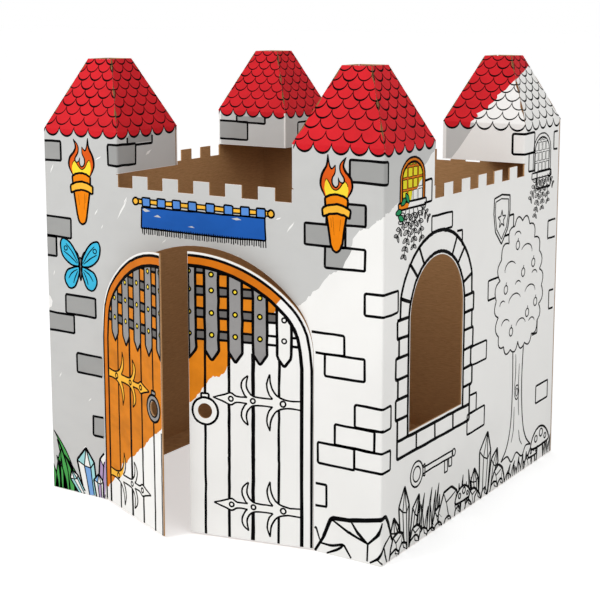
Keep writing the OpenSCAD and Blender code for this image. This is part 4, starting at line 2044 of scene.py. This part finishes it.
@dataclass
class Studio:
    """Pale floor, soft light and the photograph's camera."""

    yaw: float = 32.675
    pitch: float = 8.952
    focal: float = 1377.8
    eye: tuple[float, float, float] = (1879.7, -2991.8, 1212.8)
    axis_row: float = 225.0
    picture: float = 600.0
    sensor: float = 36.0
    sky: float = 0.62
    floor_glow: float = 0.45
    aim: tuple[float, float, float] = (0.0, 0.0, 0.5)

    def seen(self, bench: NodeBench) -> bpy.types.NodeSocket:
        """Socket that is one for what the eye sees, straight, mirrored or through glass.

        Args:
            bench: The nodes being wired.

        Returns:
            The socket.
        """
        rays = bench.add("ShaderNodeLightPath").outputs
        total = rays["Is Camera Ray"]
        for name in ("Is Glossy Ray", "Is Transmission Ray"):
            total = bench.math("MAXIMUM", total, rays[name])
        return total

    def floor(self) -> None:
        """Lay the floor, a little brighter to the eye than to the castle."""
        sheet = bmesh.new()
        below = Matrix.Translation((0, 0, -0.0006))
        bmesh.ops.create_grid(sheet, x_segments=4, y_segments=4, size=60.0, matrix=below)
        mesh = mesh_of(sheet, "studio_floor")
        bench = NodeBench(bpy.data.materials.new("studio_paper"))
        bench.wire(bench.shader, Base_Color=(0.86, 0.86, 0.86, 1.0), Roughness=0.9,
                   Specular_IOR_Level=0.1, Emission_Color=WHITE,
                   Emission_Strength=bench.math("MULTIPLY", self.seen(bench), self.floor_glow))
        mesh.materials.append(bench.owner)
        shown("studio_floor", mesh)

    def world(self) -> None:
        """Fill the room with soft light and show it white to the eye."""
        bpy.context.scene.world = bpy.data.worlds.new("studio_room")
        bench = NodeBench(bpy.context.scene.world)
        light = bench.ramp(self.seen(bench), 0.0, 1.0, self.sky, 1.0)
        bench.wire(bench.shader, Color=WHITE, Strength=light)

    def lamp(self, name: str, at: Sequence[float], size: float, power: float) -> None:
        """Hang a soft square lamp that looks at the castle.

        Args:
            name: Lamp's name.
            at: Its place in metres.
            size: Its width in metres.
            power: Its power in watts.
        """
        data = bpy.data.lights.new(name, "AREA")
        data.shape = "SQUARE"
        data.size = size
        data.energy = power
        lamp = shown(name, data)
        lamp.location = at
        lamp.rotation_euler = (Vector(self.aim) - Vector(at)).to_track_quat("-Z", "Y").to_euler()

    def camera(self) -> None:
        """Set the camera where the photograph was taken from."""
        data = bpy.data.cameras.new("photo_camera")
        data.sensor_width = self.sensor
        data.lens = self.focal / self.picture * self.sensor
        data.shift_y = (self.axis_row - self.picture / 2) / self.picture
        data.clip_end = 200.0
        camera = shown("photo_camera", data)
        x, y, z = self.eye
        camera.location = (x * MM, (y + FRAME_SHIFT) * MM, z * MM)
        camera.rotation_euler = (math.radians(90.0 - self.pitch), 0.0, math.radians(self.yaw))
        bpy.context.scene.camera = camera

    def build(self) -> None:
        """Make the whole studio."""
        bpy.context.scene.view_settings.view_transform = "Standard"
        self.camera()
        self.floor()
        self.world()
        self.lamp("key_lamp", (-3.2, -5.2, 4.6), 3.0, 214.0)
        self.lamp("fill_lamp", (4.8, -2.4, 3.4), 3.0, 60.0)


@dataclass
class Castle:
    """The whole castle: bare board and everything printed on it."""

    towers: tuple[Tower, ...] = (
        Tower("front_left_tower", -1, -1, 51), Tower("front_right_tower", 1, -1, 52),
        Tower("back_left_tower", -1, 1, 53), Tower("back_right_tower", 1, 1, 54, red=False))

    def boards(self) -> None:
        """Give the CAD sheets and leaves their board."""
        wall = BoardFinish("finish_wall_board", False).material()
        leaf = BoardFinish("finish_leaf_board", True).material()
        for name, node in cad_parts.items():
            finish = leaf if name.endswith("leaf") else wall
            node.data.materials.clear()
            node.data.materials.append(finish)
            LOG.info("%s: %s", name, finish.name)

    def walls(self) -> None:
        """Print the four walls, each cut off where the next one's print begins."""
        corners = box_path(-HALF, HALF, -HALF, HALF)
        folded = [False, True, False, True, False]
        side_end = SIDE_AT + GLUED_END
        for name, pen, low, high, opening in (
            ("front_wall", FrontPrint(), -HALF, side_end, gate_outline(0.5)),
            ("right_wall", SidePrint(), HALF - 4.0, side_end, []),
            ("hidden_walls", HiddenPrint(), 3 * HALF + 6.0, 7 * HALF - 14.0, []),
        ):
            pen.draw()
            ring = WallRing(corners + corners[:1], folded, -HALF, low, high, opening)
            press(name, [(pen, ring)], "walls", "printed_board")

    def leaves(self) -> None:
        """Print both gate leaves, each coloured above its own ragged edge."""
        GateLeaf(71, name="left_leaf", opening=24.0, way=1.0, border=[
            (0, 30), (20, 44), (40, 62), (60, 78), (84, 100), (96, 122), (120, 130), (138, 150),
            (164, 160), (190, 184), (212, 192), (232, 214), (256, 232), (280, 246),
            (304, 262)]).build()
        GateLeaf(72, name="right_leaf", opening=12.5, way=-1.0, bare=True, colour_from=62.0,
                 border=[
            (0, 640), (40, 600), (62, 558), (84, 556), (100, 534), (122, 516), (150, 486),
            (176, 462), (206, 420), (214, 396), (226, 386), (244, 384), (262, 364), (282, 336),
            (304, 314)]).build()

    def build(self) -> None:
        """Dress every board of the castle."""
        self.boards()
        self.walls()
        for tower in self.towers:
            tower.build()
        self.leaves()


def main() -> None:
    """Build the studio and the castle."""
    logging.basicConfig(level=logging.INFO, format="%(name)s: %(message)s")
    Studio().build()
    Castle().build()


if __name__ == "__main__":
    main()
